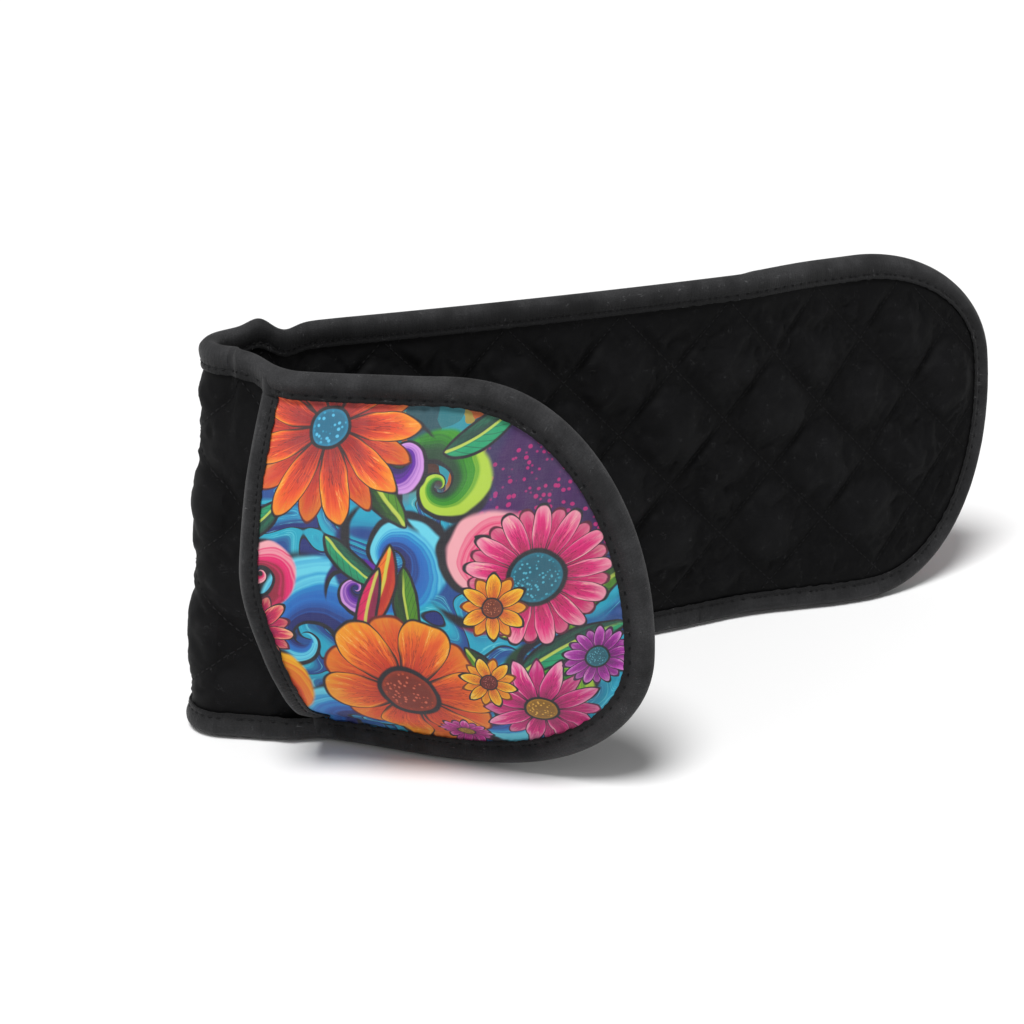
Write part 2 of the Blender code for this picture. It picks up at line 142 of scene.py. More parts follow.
def arc_point(start, heading, bend, distance):
    """The end of an arc that turns by bend each metre. Its chord is the length times sin(h)/h, with
    h half of the angle it turns, and the chord points along the heading plus h."""
    half = bend * distance / 2
    chord = distance * np.sinc(half / np.pi)
    return start + chord[..., None] * np.stack([np.cos(heading + half), np.sin(heading + half)], -1)


def strip_runs():
    """Where each of the three stretches begins: distance, place, heading and bend, as arrays."""
    far_bend = math.radians(FAR_TIP_HEADING - FAR_HEADING) / FAR_RUN
    corner, heading, done = np.zeros(2), math.radians(180 + NEAR_HEADING), 0.0
    rows = []
    for length, bend in ((CUT_FROM_TIP, 0.0), (CORNER_RUN, -1 / CORNER_RADIUS), (FAR_RUN, far_bend)):
        rows.append((done, *corner, heading, bend))
        corner = arc_point(corner, heading, bend, np.float64(length))
        heading, done = heading + bend * length, done + length
    return np.array(rows).T


RUNS = strip_runs()


def lean_at(along):
    """How far the strip leans outwards, in radians; it is upright between the two folds."""
    near = ease(along, NEAR_LEAN + ((FOLD_FROM_TIP, 0.0),))
    far = ease(TOTAL - along, FAR_LEAN + ((FOLD_FROM_TIP, 0.0),))
    return np.radians(np.where(along < FOLD_FROM_TIP, near, far))


def shear_at(along):
    """How far the corner's top stands over towards the open side, for each metre of height."""
    amount = CORNER_SHEAR / STRIP_WIDTH
    corner_end = CUT_FROM_TIP + CORNER_RUN
    stations = ((FOLD_FROM_TIP, 0.0), (CUT_FROM_TIP, amount), (corner_end, amount))
    return ease(along, stations + ((corner_end + CORNER_EASE, 0.0),))


def bend_strip(along, height, out):
    """The place of a flat point: along the plan curve, out along its normal, leaned and sheared
    by its height above the middle, and raised by height times the cosine of the lean."""
    along, height, out = np.broadcast_arrays(along, height, out)
    run = np.clip(np.searchsorted(RUNS[0], along, side="right") - 1, 0, 2)
    begin, x, y, heading, bend = RUNS[:, run]
    past = along - begin
    plan = arc_point(np.stack([x, y], -1), heading, bend, past)
    way = heading + bend * past
    outward = np.stack([-np.sin(way), np.cos(way)], -1)
    open_side = math.radians((NEAR_HEADING + FAR_HEADING) / 2)
    open_way = np.array([math.cos(open_side), math.sin(open_side)])
    lean = lean_at(along)
    over = height - STRIP_WIDTH / 2
    plan = plan + outward * (out + over * np.tan(lean))[..., None]
    plan = plan + open_way * (over * shear_at(along))[..., None]
    return np.concatenate([plan, (height * np.cos(lean))[..., None]], -1)


fold_line = {"near": FOLD_FROM_TIP, "far": TOTAL - FOLD_FROM_TIP}
SHIFT = np.array(joints["near_fold"]["pos_m"]) - bend_strip(fold_line["near"], 0.0, STRIP_FULL)
missed = np.array(joints["far_fold"]["pos_m"]) - bend_strip(fold_line["far"], 0.0, STRIP_FULL) - SHIFT
print("the far fold is off by", round(float(np.linalg.norm(missed)) * 1000, 4), "mm")

# %% [markdown]
# ## How cloth lies when it is held
# The part's solids are straight where real cloth gives a little. The near mitt's upper edge sags
# beside the mouth, where the hand's weight pulls it, and the strap kinks upward just past the
# corner. These are smooth bumps of a few millimetres added to the flat place before it is bent.

# %% Sag and kink
SAG = 0.0036
KINK = 0.0040


def bump(value, middle, reach):
    """A smooth bump: e to the power of minus the square of the distance over the reach."""
    return np.exp(-(((value - middle) / reach) ** 2))


def place(along, height, out):
    """The place in the part's frame, with the cloth's own sag and kink."""
    along, height, out = np.broadcast_arrays(np.asarray(along, float), height, out)
    upper = np.clip(height / STRIP_WIDTH, 0, 1) ** 3
    past_corner = CUT_FROM_TIP + CORNER_RUN
    sag = SAG * ease(along, ((0.045, 0.0), (0.105, 1.0), (0.158, 1.0), (0.186, 0.0)))
    kink = KINK * bump(along, past_corner + 0.009, 0.007)
    kink = kink - 0.5 * KINK * bump(along, past_corner + 0.024, 0.008)
    lift = upper * (kink - sag)
    dent = -0.0035 * upper * bump(along, past_corner + 0.018, 0.010)
    return bend_strip(along, height + lift, out + dent) + SHIFT


# %% [markdown]
# ## The outline of a mitt
# A mitt is a straight strip with a rounded end, and its tip is not at mid height, so the end is two
# quarter ellipses. Two values describe a place on it: how far round the edge, and how far in.
# A second measure, the share of the way from the edge to the middle line, shapes the padding.

# %% Edge and middle of a mitt


def tip_height(side):
    """Height of a mitt's tip."""
    return STRIP_WIDTH / 2 + (TIP_SHIFT if side == "far" else -TIP_SHIFT)


def along_of(side, from_tip):
    """Distance along the strip of a distance from a mitt's own tip, and just as well the reverse."""
    return from_tip if side == "near" else TOTAL - from_tip


def crown(side, from_tip, height, inset):
    """1 on the middle line and 0 at the outline drawn in by inset, by one minus the radius of the
    ellipse through the point over the radius of that outline."""
    tip = tip_height(side)
    half = np.where(height < tip, tip, STRIP_WIDTH - tip) - inset
    across = (height - tip) / half
    back = np.clip(END_LENGTH - from_tip, 0, None) / (END_LENGTH - inset)
    return 1 - np.hypot(across, back)


def from_edge(side, from_tip, height):
    """About how far inside the outline a point is: its radius times (1/q - 1), with q the share
    of the outline's radius."""
    tip = tip_height(side)
    half = np.where(height < tip, tip, STRIP_WIDTH - tip)
    back = np.clip(END_LENGTH - from_tip, 0, None)
    share = np.maximum(np.hypot((height - tip) / half, back / END_LENGTH), 1e-6)
    return np.hypot(height - tip, back) * (1 / share - 1)


def edge_line(side, end, step):
    """Even steps round the edge, from one cut at distance end from the tip to the other: each is a
    straight distance or an angle of the end arc, as the pair (distance past the arc, angle)."""
    angles = np.linspace(0, np.pi, 400)
    straight = np.linspace(end - END_LENGTH, 0, 200)
    past = np.concatenate([straight, np.zeros(398), straight[::-1]])
    angle = np.concatenate([np.zeros(200), angles[1:-1], np.full(200, np.pi)])
    d, h = edge_place(side, past, angle, BINDING_WIDTH / 2)
    run = np.concatenate([[0], np.cumsum(np.hypot(np.diff(d), np.diff(h)))])
    count = int(round(run[-1] / step)) + 1
    even = np.linspace(0, run[-1], count)
    return np.interp(even, run, past), np.interp(even, run, angle), even


def edge_place(side, past, angle, inset):
    """(distance from the tip, height) for a step of edge_line, drawn in from the edge by inset."""
    tip = tip_height(side)
    half = np.where(angle < np.pi / 2, tip, STRIP_WIDTH - tip) - inset
    return END_LENGTH + past - (END_LENGTH - inset) * np.sin(angle), tip - half * np.cos(angle)


# %% [markdown]
# ## Meshes from grids of points
# Every layer here has two faces, like a slice of bread. Both faces are grids of the same size, so
# the mesh is a tube of quads round them with its two ends closed by quads. All of it is done with
# whole arrays, and the signed volume tells whether the faces point out.

# %% Closed shells and small repeated shapes


def mesh_object(name, points, faces, uv=None, marks=None, smooth_angle=50):
    """A mesh object at the origin. uv and marks are one value for each point."""
    quads = faces.shape[1] == 4
    triangles = np.concatenate([faces[:, [0, 1, 2]], faces[:, [0, 2, 3]]]) if quads else faces
    a, b, c = (points[triangles[:, k]] for k in range(3))
    if (a * np.cross(b, c)).sum() < 0:
        faces = faces[:, ::-1]
    mesh = bpy.data.meshes.new(name)
    mesh.from_pydata(points.tolist(), [], faces.tolist())
    if uv is not None:
        layer = mesh.uv_layers.new(name="Cloth")
        layer.data.foreach_set("uv", uv[faces.ravel()].astype(np.float32).ravel())
    for mark, values in (marks or {}).items():
        mesh.attributes.new(mark, "FLOAT", "POINT").data.foreach_set("value", values.astype(np.float32))
    mesh.shade_smooth()
    mesh.set_sharp_from_angle(angle=math.radians(smooth_angle))
    made = bpy.data.objects.new(name, mesh)
    bpy.context.scene.collection.objects.link(made)
    return made


def shell(name, side_a, side_b, uv_a, uv_b, marks=None):
    """A closed wall between two equal grids of points: a ring of quads for each step along the
    grids, and at both ends quads from the first face's row to the second's."""
    rings = np.concatenate([side_a, side_b[:, ::-1]], axis=1)
    uv = np.concatenate([uv_a, uv_b[:, ::-1]], axis=1)
    steps, around = rings.shape[:2]
    index = np.arange(steps * around).reshape(steps, around)
    after = np.roll(index, -1, axis=1)
    wall = np.stack([index[:-1], index[1:], after[1:], after[:-1]], -1).reshape(-1, 4)
    half = around // 2
    caps = []
    for row, way in ((index[0], 1), (index[-1], -1)):
        low, high = row[:half], row[::-1][:half]
        caps.append(np.stack([low[:-1], low[1:], high[1:], high[:-1]], -1)[:, ::way])
    faces = np.concatenate([wall] + caps)
    if marks:
        marks = {m: np.concatenate([a, b[:, ::-1]], axis=1).ravel() for m, (a, b) in marks.items()}
    return mesh_object(name, rings.reshape(-1, 3), faces, uv.reshape(-1, 2), marks)


def even_noise(value, seed, waves=7):
    """A smooth, repeatable unevenness between about -1 and 1: a sum of sines whose lengths and
    starts come from a seeded generator."""
    chance = np.random.default_rng(seed)
    total = np.zeros_like(value, dtype=float)
    for length, start in zip(chance.uniform(0.6, 3.2, waves), chance.uniform(0, 2 * np.pi, waves)):
        total += np.sin(value / length * 2 * np.pi + start)
    return total / math.sqrt(waves * 2)


# %% [markdown]
# ## Quilting, by cloth simulation
# Quilting stitches pull two cloths together through soft wadding, and the cloth between them
# stands up in pillows with fine tension creases. The pillows could be a sine formula, but real ones
# are tight at the seams and creased at the crossings. So one flat panel of cloth is simulated: it
# is a little too large for its frame, it is held along the quilting lines and the rim, and pressure
# from below stands for the wadding. The height that it reaches is then read wherever it is needed.

# %% Simulate the quilted panel
QUILT_PITCH = 0.060
RISING_START = 0.012
FALLING_START = 0.048
PANEL_STEP = 0.002
PUFF_CAP = 0.006
START_HEIGHT = 0.0004
SIMULATED_FRAMES = 20
SEAM_STEEPNESS = 0.7
SEAM_FLAT = 0.0014
SEAM_RISE = 0.0060


def quilt_phase(along, height):
    """Distances from the nearest quilting line of each slant, along the strip."""
    half = QUILT_PITCH / 2
    rising = (along - height - RISING_START + half) % QUILT_PITCH - half
    falling = (along + height - FALLING_START + half) % QUILT_PITCH - half
    return np.abs(rising), np.abs(falling)


def simulate_panel():
    """Heights of the quilted cloth over a flat grid, as a share of its usual pillow height."""
    columns = int(math.ceil(TOTAL / PANEL_STEP)) + 1
    rows = int(round(STRIP_WIDTH / PANEL_STEP)) + 1
    x, y = np.meshgrid(np.arange(columns) * PANEL_STEP, np.arange(rows) * PANEL_STEP, indexing="ij")
    rising, falling = quilt_phase(x, y)
    held = (np.minimum(rising, falling) < PANEL_STEP / 2) | (y < PINCH) | (y > STRIP_WIDTH - PINCH)
    held |= (x < PANEL_STEP) | (x > TOTAL - PANEL_STEP)
    index = np.arange(columns * rows).reshape(columns, rows)
    quads = np.stack([index[:-1, :-1], index[1:, :-1], index[1:, 1:], index[:-1, 1:]], -1).reshape(-1, 4)
    chance = np.random.default_rng(5)
    start = np.where(held, 0, START_HEIGHT * chance.uniform(0.2, 1, held.shape))
    mesh = bpy.data.meshes.new("panel")
    mesh.from_pydata(np.stack([x, y, start], -1).reshape(-1, 3).tolist(), [], quads.tolist())
    panel = bpy.data.objects.new("panel", mesh)
    bpy.context.scene.collection.objects.link(panel)
    group = panel.vertex_groups.new(name="held")
    group.add(index[held].ravel().tolist(), 1.0, "REPLACE")
    cloth = panel.modifiers.new("Cloth", "CLOTH")
    cloth.settings.quality = 5
    cloth.settings.mass = 0.15
    cloth.settings.tension_stiffness = 12
    cloth.settings.compression_stiffness = 12
    cloth.settings.shear_stiffness = 6
    cloth.settings.bending_stiffness = 0.15
    cloth.settings.shrink_min = -0.05
    cloth.settings.use_pressure = True
    cloth.settings.uniform_pressure_force = 4
    cloth.settings.effector_weights.gravity = 0
    cloth.settings.vertex_group_mass = "held"
    for step in range(1, SIMULATED_FRAMES + 1):
        bpy.context.scene.frame_set(step)
    now = panel.evaluated_get(bpy.context.evaluated_depsgraph_get())
    found = np.empty(columns * rows * 3, np.float32)
    now.data.vertices.foreach_get("co", found)
    bpy.data.objects.remove(panel)
    bpy.context.scene.frame_set(1)
    up = np.clip(found.reshape(columns, rows, 3)[..., 2], 0, PUFF_CAP)
    print("pillow heights in mm:", np.round(np.percentile(up, (50, 90, 99)) * 1000, 2))
    return np.clip(up / np.percentile(up, 95), 0, 1.2) ** SEAM_STEEPNESS


PANEL = simulate_panel()


def puff(along, height):
    """The pillow height at any flat place, read between the panel's points in straight lines. The
    stitches press a narrow strip along each seam flat, and the pillow's side rises beyond it."""
    column = np.clip(along / PANEL_STEP, 0, PANEL.shape[0] - 1.001)
    row = np.clip(height / PANEL_STEP, 0, PANEL.shape[1] - 1.001)
    i, j = column.astype(int), row.astype(int)
    s, t = column - i, row - j
    low = PANEL[i, j] * (1 - s) + PANEL[i + 1, j] * s
    high = PANEL[i, j + 1] * (1 - s) + PANEL[i + 1, j + 1] * s
    rising, falling = quilt_phase(along, height)
    side = np.clip((np.minimum(rising, falling) - SEAM_FLAT) / SEAM_RISE, 0, 1)
    return (low * (1 - t) + high * t) * side * (2 - side)


# %% [markdown]
# ## The quilted strip
# The strip is three pieces here, because it folds in two places: one piece for each mitt, which
# bends over its fold, and one for the strap between them. Their cuts lie on the strap's stiff
# stretch, where both sides of a cut have the same points, so the join can't be seen.
# Each is a closed shell: a palm face and an outer face, each with its own pillows.

# %% Palm and outer faces of the strip
PALM_PUFF = 0.0050
OUTER_PUFF = 0.0030
HIDDEN_EDGE = 0.004
CELL = 0.0015
FULL_SHARE = 0.30


def band_centre(along, height):
    """The strap's own share from edge to middle: the near mitt's at one cut, the far mitt's at
    the other, and a smooth passage between them."""
    near = crown("near", END_LENGTH + 0 * along, height, PINCH)
    far = crown("far", END_LENGTH + 0 * along, height, PINCH)
    way = ease(along, ((CUT_FROM_TIP, 0.0), (TOTAL - CUT_FROM_TIP, 1.0)))
    return np.clip(near + (far - near) * way, 0, 1)


def strip_measures(body, along, height):
    """For places on one body's stretch of the strip: the distance from its outline, and a share
    that runs from 0 at the binding to 1 on the middle line."""
    if body == "band":
        return np.minimum(height, STRIP_WIDTH - height), band_centre(along, height)
    from_tip = along_of(body, along)
    return from_edge(body, from_tip, height), np.clip(crown(body, from_tip, height, PINCH), 0, 1)


def strip_faces(along, height, edge, centre):
    """Heights out from the palm of the strip's two faces, for the two strip_measures."""
    fill = np.clip(centre / FULL_SHARE, 0, 1)
    tight = np.clip((edge - HIDDEN_EDGE) / (PINCH - HIDDEN_EDGE), 0, 1)
    rise = ease(edge, ((PINCH - 0.003, 0.0), (PINCH + 0.010, 1.0)))
    pucker = 0.00022 * even_noise((along + height) * 260, 3) * bump(edge, PINCH, 0.006)
    palm = 0.0006 * fill - PALM_PUFF * rise * puff(along, height) + pucker
    full = STRIP_PINCHED + (STRIP_FULL - STRIP_PINCHED - OUTER_PUFF) * fill
    outer = full + OUTER_PUFF * rise * puff(along + QUILT_PITCH, height) + pucker
    middle = STRIP_PINCHED / 2
    return [middle + (face - middle) * (0.6 + 0.4 * tight) for face in (palm, outer)]


def strip_shell(body, along, height):
    """A stretch of the strip; its mark is highest on the tops of the pillows, which wear first.
    The black cotton also uses it to paint the tops lighter and the valleys darker: painted highlight and
    painted shade.
    """
    edge, centre = strip_measures(body, along, height)
    palm, outer = strip_faces(along, height, edge, centre)
    uv = np.stack([along, height], -1)
    inner = np.clip(centre * 3, 0, 1)
    # The pillow tops carry the mark: wear, plus a painted highlight on the tops and painted shade in the
    # low valleys.
    tops = [inner * np.clip(puff(at, height), 0, 1) for at in (along, along + QUILT_PITCH)]
    return shell(
        f"{body}_quilted_strip", place(along, height, palm), place(along, height, outer), uv, uv,
        {"centre": tuple(tops)},
    )


def mitt_grid(side, end, inset, cell):
    """Flat places over a mitt: columns from near its tip to the cut, closer together at the tip
    where the end arc turns, and rows from the lower outline to the upper one."""
    arc = int((END_LENGTH - inset) * 1.25 / cell)
    turn = np.linspace(0.10, np.pi / 2, arc)
    reach = END_LENGTH - (END_LENGTH - inset) * np.cos(turn)
    straight = np.linspace(END_LENGTH, end, int((end - END_LENGTH) / cell) + 2)[1:]
    from_tip = np.concatenate([reach, straight])
    rise = np.concatenate([np.sin(turn), np.ones(len(straight))])
    tip = tip_height(side)
    share = np.linspace(0, 1, int(STRIP_WIDTH / cell) + 1)
    low, high = tip - (tip - inset) * rise, tip + (STRIP_WIDTH - inset - tip) * rise
    height = low[:, None] + (high - low)[:, None] * share
    return np.broadcast_to(from_tip[:, None], height.shape), height


strips = {}
for side in ("near", "far"):
    from_tip, height = mitt_grid(side, CUT_FROM_TIP, HIDDEN_EDGE, CELL)
    strips[side] = strip_shell(side, along_of(side, from_tip), height)

share = np.linspace(0, 1, int(STRIP_WIDTH / CELL) + 1)
rows = HIDDEN_EDGE + (STRIP_WIDTH - 2 * HIDDEN_EDGE) * share
run = np.linspace(CUT_FROM_TIP, TOTAL - CUT_FROM_TIP, int((TOTAL - 2 * CUT_FROM_TIP) / CELL) + 1)
strips["band"] = strip_shell("band", *np.meshgrid(run, rows, indexing="ij"))
for piece in strips.values():
    print(piece.name, len(piece.data.polygons), "faces")

# %% [markdown]
# ## The pockets
# A pocket front is three layers: lining, thin wadding and the printed cotton. A hand holds it
# open, so it stands off the strip in a dome that is deepest at the mouth. The print is its own thin
# closed sheet, and the lining with its wadding is a padded shell just under it.

# %% Lining and printed front of each pocket
MOUTH_LEAN = 0.012


def pocket_out(side, from_tip, height):
    """Height out of the lining's inner face and of the print's outer face. The dome is the gape
    times one minus q squared, with q the share of the way from the middle to the binding."""
    part = np.clip(crown(side, from_tip, height, PINCH), 0, 1)
    deep = np.clip((from_tip - END_LENGTH) / (POCKET_DEPTH - END_LENGTH), 0, 1)
    gape = GAPE_AT_END + (GAPE_AT_MOUTH - GAPE_AT_END) * deep
    strip = STRIP_PINCHED + (STRIP_FULL - STRIP_PINCHED) * np.clip(part / FULL_SHARE, 0, 1)
    base = strip + GAP + gape * (1 - (1 - part) ** 2)
    full = ease(part, ((0.0, POCKET_PINCHED), (0.35, POCKET_FULL)))
    return base, full


def mouth_line(height):
    """Distance of the mouth from the tip. The mouth leans back towards the tip low down."""
    return POCKET_DEPTH - ease(height, ((0.040, MOUTH_LEAN), (0.100, 0.0)))


pockets = {}
for side in ("near", "far"):
    from_tip, height = mitt_grid(side, POCKET_DEPTH, HIDDEN_EDGE, CELL)
    beyond = np.clip((from_tip - END_LENGTH) / (POCKET_DEPTH - END_LENGTH), 0, 1)
    from_tip = from_tip - (POCKET_DEPTH - mouth_line(height)) * beyond
    along = along_of(side, from_tip)
    base, full = pocket_out(side, from_tip, height)
    edge = from_edge(side, from_tip, height)
    place_mark = np.clip(crown(side, from_tip, height, PINCH), 0, 1)
    around = np.arctan2(height - tip_height(side), END_LENGTH - from_tip) * 0.07
    pucker = 0.00035 * even_noise(around * 210, 11) * bump(edge, PINCH - 0.001, 0.007)
    free = np.clip(place_mark * 3, 0, 1)
    ripple = 0.0005 * even_noise(along * 26 + height * 9, 21)
    ripple = ripple + 0.0004 * even_noise(height * 30 - along * 11, 22)
    outer = base + full + pucker + ripple * free
    inner = outer - CLOTH
    uv = np.stack([from_tip, height], -1)
    pockets[side, "print"] = shell(
        f"{side}_pocket_front", place(along, height, inner), place(along, height, outer), uv, uv,
        {"centre": (place_mark, place_mark)},
    )
    soft = 0.0006 * even_noise(along * 34 + height * 21, 31) * free
    pockets[side, "lining"] = shell(
        f"{side}_pocket_padding",
        place(along, height, base + soft), place(along, height, inner - GAP), uv, uv,
        {"centre": (place_mark, place_mark)},
    )
    print(side, "pocket stands", round(float(outer.max()) * 1000, 1), "mm off the palm")

# %% [markdown]
# ## The binding
# Binding is a tape, about 30 mm wide as it shows, folded over the raw edge and stitched through all
# the layers. It is plump round the edge, drawn in along the row of stitches, and lifts a little
# beyond them. Its section is worked out from the palm side, round the edge, to the front, and
# carried round each mitt and along the strap. Small waves keyed to the stitches make the puckers.

# %% The tape's section
STITCH_PITCH = 0.0031
TAPE_STEP = 0.0010
TAPE_POINTS = 17
NOSE = 0.42


def front_height(from_tip):
    """Height out of the front cloth at the edge: strip and pocket up to the mouth, then the strip."""
    mitt = STRIP_PINCHED + GAP + POCKET_PINCHED
    return ease(from_tip, ((POCKET_DEPTH - 0.004, mitt), (POCKET_DEPTH + 0.008, STRIP_PINCHED)))


def leg_rise(half, run, inset, stitch_inset):
    """How far a leg of the tape stands from the middle of what it holds: half the stack, plus a
    swell between the edge and the stitches, less the dip that the stitches pull, less the turn
    down at the tape's own edge. The dip beats with the stitches."""
    beat = np.cos(run / STITCH_PITCH * 2 * np.pi)
    depth = 0.00060 + 0.00016 * beat + 0.00010 * even_noise(run * 210, 42)
    plump = 0.00085 * (1 + 0.22 * even_noise(run * 95, 43))
    swell = plump * bump(inset, stitch_inset * 0.5, stitch_inset * 0.34)
    drop = 0.0006 * np.clip((inset - stitch_inset - 0.0013) / 0.0014, 0, 1) ** 2
    return half + swell - depth * bump(inset, stitch_inset, 0.0011) - drop


def stack(front):
    """Middle and half thickness of what the tape holds, with the tape itself."""
    low, high = -GAP - BINDING, front + GAP + BINDING
    return (low + high) / 2, (high - low) / 2


def tape_section(front, run, width, stitch_inset):
    """The folded tape's outer line as (inset, out), and how far each point is round it, from -1
    to 1. The edge is half a round, and each leg then runs in as far as the tape's own width."""
    round_it = np.linspace(-1, 1, TAPE_POINTS * 2 + 1)
    flank = np.clip((np.abs(round_it) - NOSE) / (1 - NOSE), 0, 1)
    turn = np.clip(round_it / NOSE, -1, 1) * np.pi / 2
    middle, half = (value[:, None] for value in stack(front))
    radius = np.minimum(half, stitch_inset * 0.55)
    lip = width + 0.00028 * even_noise(run * 330, 41)[:, None]
    inset = radius * (1 - np.cos(turn)) + (lip - radius) * flank
    leg = leg_rise(half, run[:, None], inset, stitch_inset)
    rounded = half + (leg - half) * np.sin(np.abs(turn)) ** 4
    out = middle + np.where(flank > 0, leg, rounded) * np.sin(turn)
    return inset, out, round_it


def tape_inner(inset, out):
    """The tape's inner line: the outer one moved in by its thickness along its own normal."""
    step_in, step_out = np.gradient(inset, axis=1), np.gradient(out, axis=1)
    length = np.maximum(np.hypot(step_in, step_out), 1e-9)
    return inset + BINDING * step_out / length, out - BINDING * step_in / length


def make_tape(name, run, front, put, width=BINDING_WIDTH, stitch_inset=STITCH_INSET):
    """One length of binding; put takes (run, inset, out) to its place in the room."""
    inset, out, round_it = tape_section(front(run), run, width, stitch_inset)
    inner = tape_inner(inset, out)
    steps = np.broadcast_to(run[:, None], inset.shape)
    across = np.cumsum(np.hypot(np.gradient(inset, axis=1), np.gradient(out, axis=1)), axis=1)
    uv = np.stack([steps, across], -1)
    fold = np.broadcast_to(1 - np.abs(round_it), inset.shape)
    return shell(name, put(steps, inset, out), put(steps, *inner), uv, uv, {"fold": (fold, fold)})


# %% [markdown]
# ## Round the mitts, along the strap and over the mouths
# The same section serves every edge, and only the line that it follows differs. Round a mitt the
# line is the outline, along the strap it is a straight edge, and over a mouth it climbs the dome.
# There the tape stands square to the dome, so its thickness follows the dome's own normal.

# %% Carry the tape along each edge
MOUTH_REACH = BINDING + GAP
MOUTH_HIDDEN = 0.005


def mitt_edge(side):
    """Steps round a mitt, where a place on its binding is, and the height of its front cloth."""
    past, angle, even = edge_line(side, CUT_FROM_TIP, TAPE_STEP)

    def put(run, inset, out):
        at_past, at_angle = np.interp(run, even, past), np.interp(run, even, angle)
        from_tip, height = edge_place(side, at_past, at_angle, inset)
        return place(along_of(side, from_tip), height, out)

    return even, put, lambda run: front_height(END_LENGTH + np.interp(run, even, past))


def strap_edge(upper):
    """The same for one edge of the strap between the mitts."""
    count = int((TOTAL - 2 * CUT_FROM_TIP) / TAPE_STEP) + 1
    even = np.linspace(CUT_FROM_TIP, TOTAL - CUT_FROM_TIP, count)

    def put(run, inset, out):
        return place(run, STRIP_WIDTH - inset if upper else inset, out)

    return even, put, lambda run: front_height(CUT_FROM_TIP + 0 * run)


def mouth_edge(side):
    """The same for a pocket's mouth, where run is the height and out is square to the dome."""
    even = np.linspace(MOUTH_HIDDEN, STRIP_WIDTH - MOUTH_HIDDEN, int(STRIP_WIDTH / TAPE_STEP) + 1)

    def slope(run):
        step = 0.001
        low, high = (pocket_out(side, mouth_line(run + s), run + s)[0] for s in (-step, step))
        return (high - low) / (2 * step)

    def put(run, inset, out):
        line = mouth_line(run)
        from_tip = line + MOUTH_REACH - inset
        base = pocket_out(side, np.minimum(from_tip, line), run)[0]
        tilt = slope(run)
        square = np.sqrt(1 + tilt**2)
        return place(along_of(side, from_tip), run - tilt / square * out, base + out / square)

    def front(run):
        return pocket_out(side, mouth_line(run), run)[1] / np.sqrt(1 + slope(run) ** 2)

    return even, put, front


edges = {
    "near": mitt_edge("near"),
    "far": mitt_edge("far"),
    "upper": strap_edge(True),
    "lower": strap_edge(False),
    "near mouth": mouth_edge("near"),
    "far mouth": mouth_edge("far"),
}
tapes = {}
for edge_name, (run, put, front) in edges.items():
    mouth = "mouth" in edge_name
    title = edge_name.replace(" ", "_") if mouth else f"{edge_name}_edge"
    tapes[edge_name] = make_tape(
        f"{title}_binding_tape", run, front, put,
        MOUTH_BINDING_WIDTH if mouth else BINDING_WIDTH,
        MOUTH_STITCH_INSET if mouth else STITCH_INSET,
    )
print("tapes:", ", ".join(f"{t.name} {len(t.data.polygons)}" for t in tapes.values()))

# %% [markdown]
# ## Stitches
# Each stitch is a short bead of thread lying in its groove, and its ends dive into the cloth. One
# small bead mesh is laid out thousands of times as arrays: its points are added to each stitch's
# flat place and the sum goes through the same bending as the cloth, so no stitch floats.

# %% Rows of stitches
STITCH_LENGTH = 0.0024
THREAD_WIDTH = 0.00075
MOUTH_ROW_CLEAR = 0.006


def bead(length, width, rise, around=6, rings=5):
    """One stitch as (points, faces): rings that swell as the square root of one minus the square
    of the place along it, with a flat end of quads at both ends."""
    place_on = np.linspace(-1, 1, rings)
    turn = np.arange(around) / around * 2 * np.pi
    swell = np.sqrt(1 - (0.95 * place_on) ** 2)[:, None]
    x = np.broadcast_to(place_on[:, None] * length / 2, (rings, around))
    points = np.stack([x, swell * np.cos(turn) * width / 2, swell * np.sin(turn) * rise / 2], -1)
    index = np.arange(rings * around).reshape(rings, around)
    after = np.roll(index, -1, axis=1)
    wall = np.stack([index[:-1], after[:-1], after[1:], index[1:]], -1).reshape(-1, 4)
    end = [[0, k, k + 1, k + 2] for k in range(1, around - 2, 2)]
    caps = [index[0][end][:, ::-1], index[-1][end]]
    return points.reshape(-1, 3), np.concatenate([wall] + caps)


def lay_beads(name, shape, places):
    """Beads as one mesh: places is an array (stitch, point, 3) of finished points."""
    points, faces = shape
    count = len(places)
    every = (faces[None] + np.arange(count)[:, None, None] * len(points)).reshape(-1, 4)
    tone = np.repeat(np.random.default_rng(count).uniform(0, 1, count), len(points))
    uv = np.tile(points[:, :2], (count, 1))
    return mesh_object(name, places.reshape(-1, 3), every, uv, {"tone": tone}, smooth_angle=80)


def edge_stitches(name, edge_name, way):
    """A row of stitches on one face of a tape: way is 1 for the front and -1 for the palm."""
    even, put, front = edges[edge_name]
    mouth = "mouth" in edge_name
    inset = MOUTH_STITCH_INSET if mouth else STITCH_INSET
    clear = MOUTH_ROW_CLEAR if mouth else STITCH_PITCH / 2
    count = int((even[-1] - even[0] - 2 * clear) / STITCH_PITCH)
    start = even[0] + clear + np.arange(count) * STITCH_PITCH
    start = np.round(start / STITCH_PITCH) * STITCH_PITCH + STITCH_PITCH / 2
    start = start[start < even[-1] - STITCH_PITCH / 2]
    chance = np.random.default_rng(len(name))
    shape = bead(STITCH_LENGTH, THREAD_WIDTH, 0.0006)
    skew = chance.normal(0, 0.05, len(start))[:, None]
    x, y, z = shape[0].T
    run = start[:, None] + x
    across = inset + y + skew * x + chance.normal(0, 0.00007, len(start))[:, None]
    middle, half = stack(front(run))
    leg = leg_rise(half, run, np.full_like(run, inset), inset)
    lift = 0.00016 - 0.00030 * (x / (STITCH_LENGTH / 2)) ** 2
    return lay_beads(name, shape, put(run, across, middle + way * (leg + lift + z)))


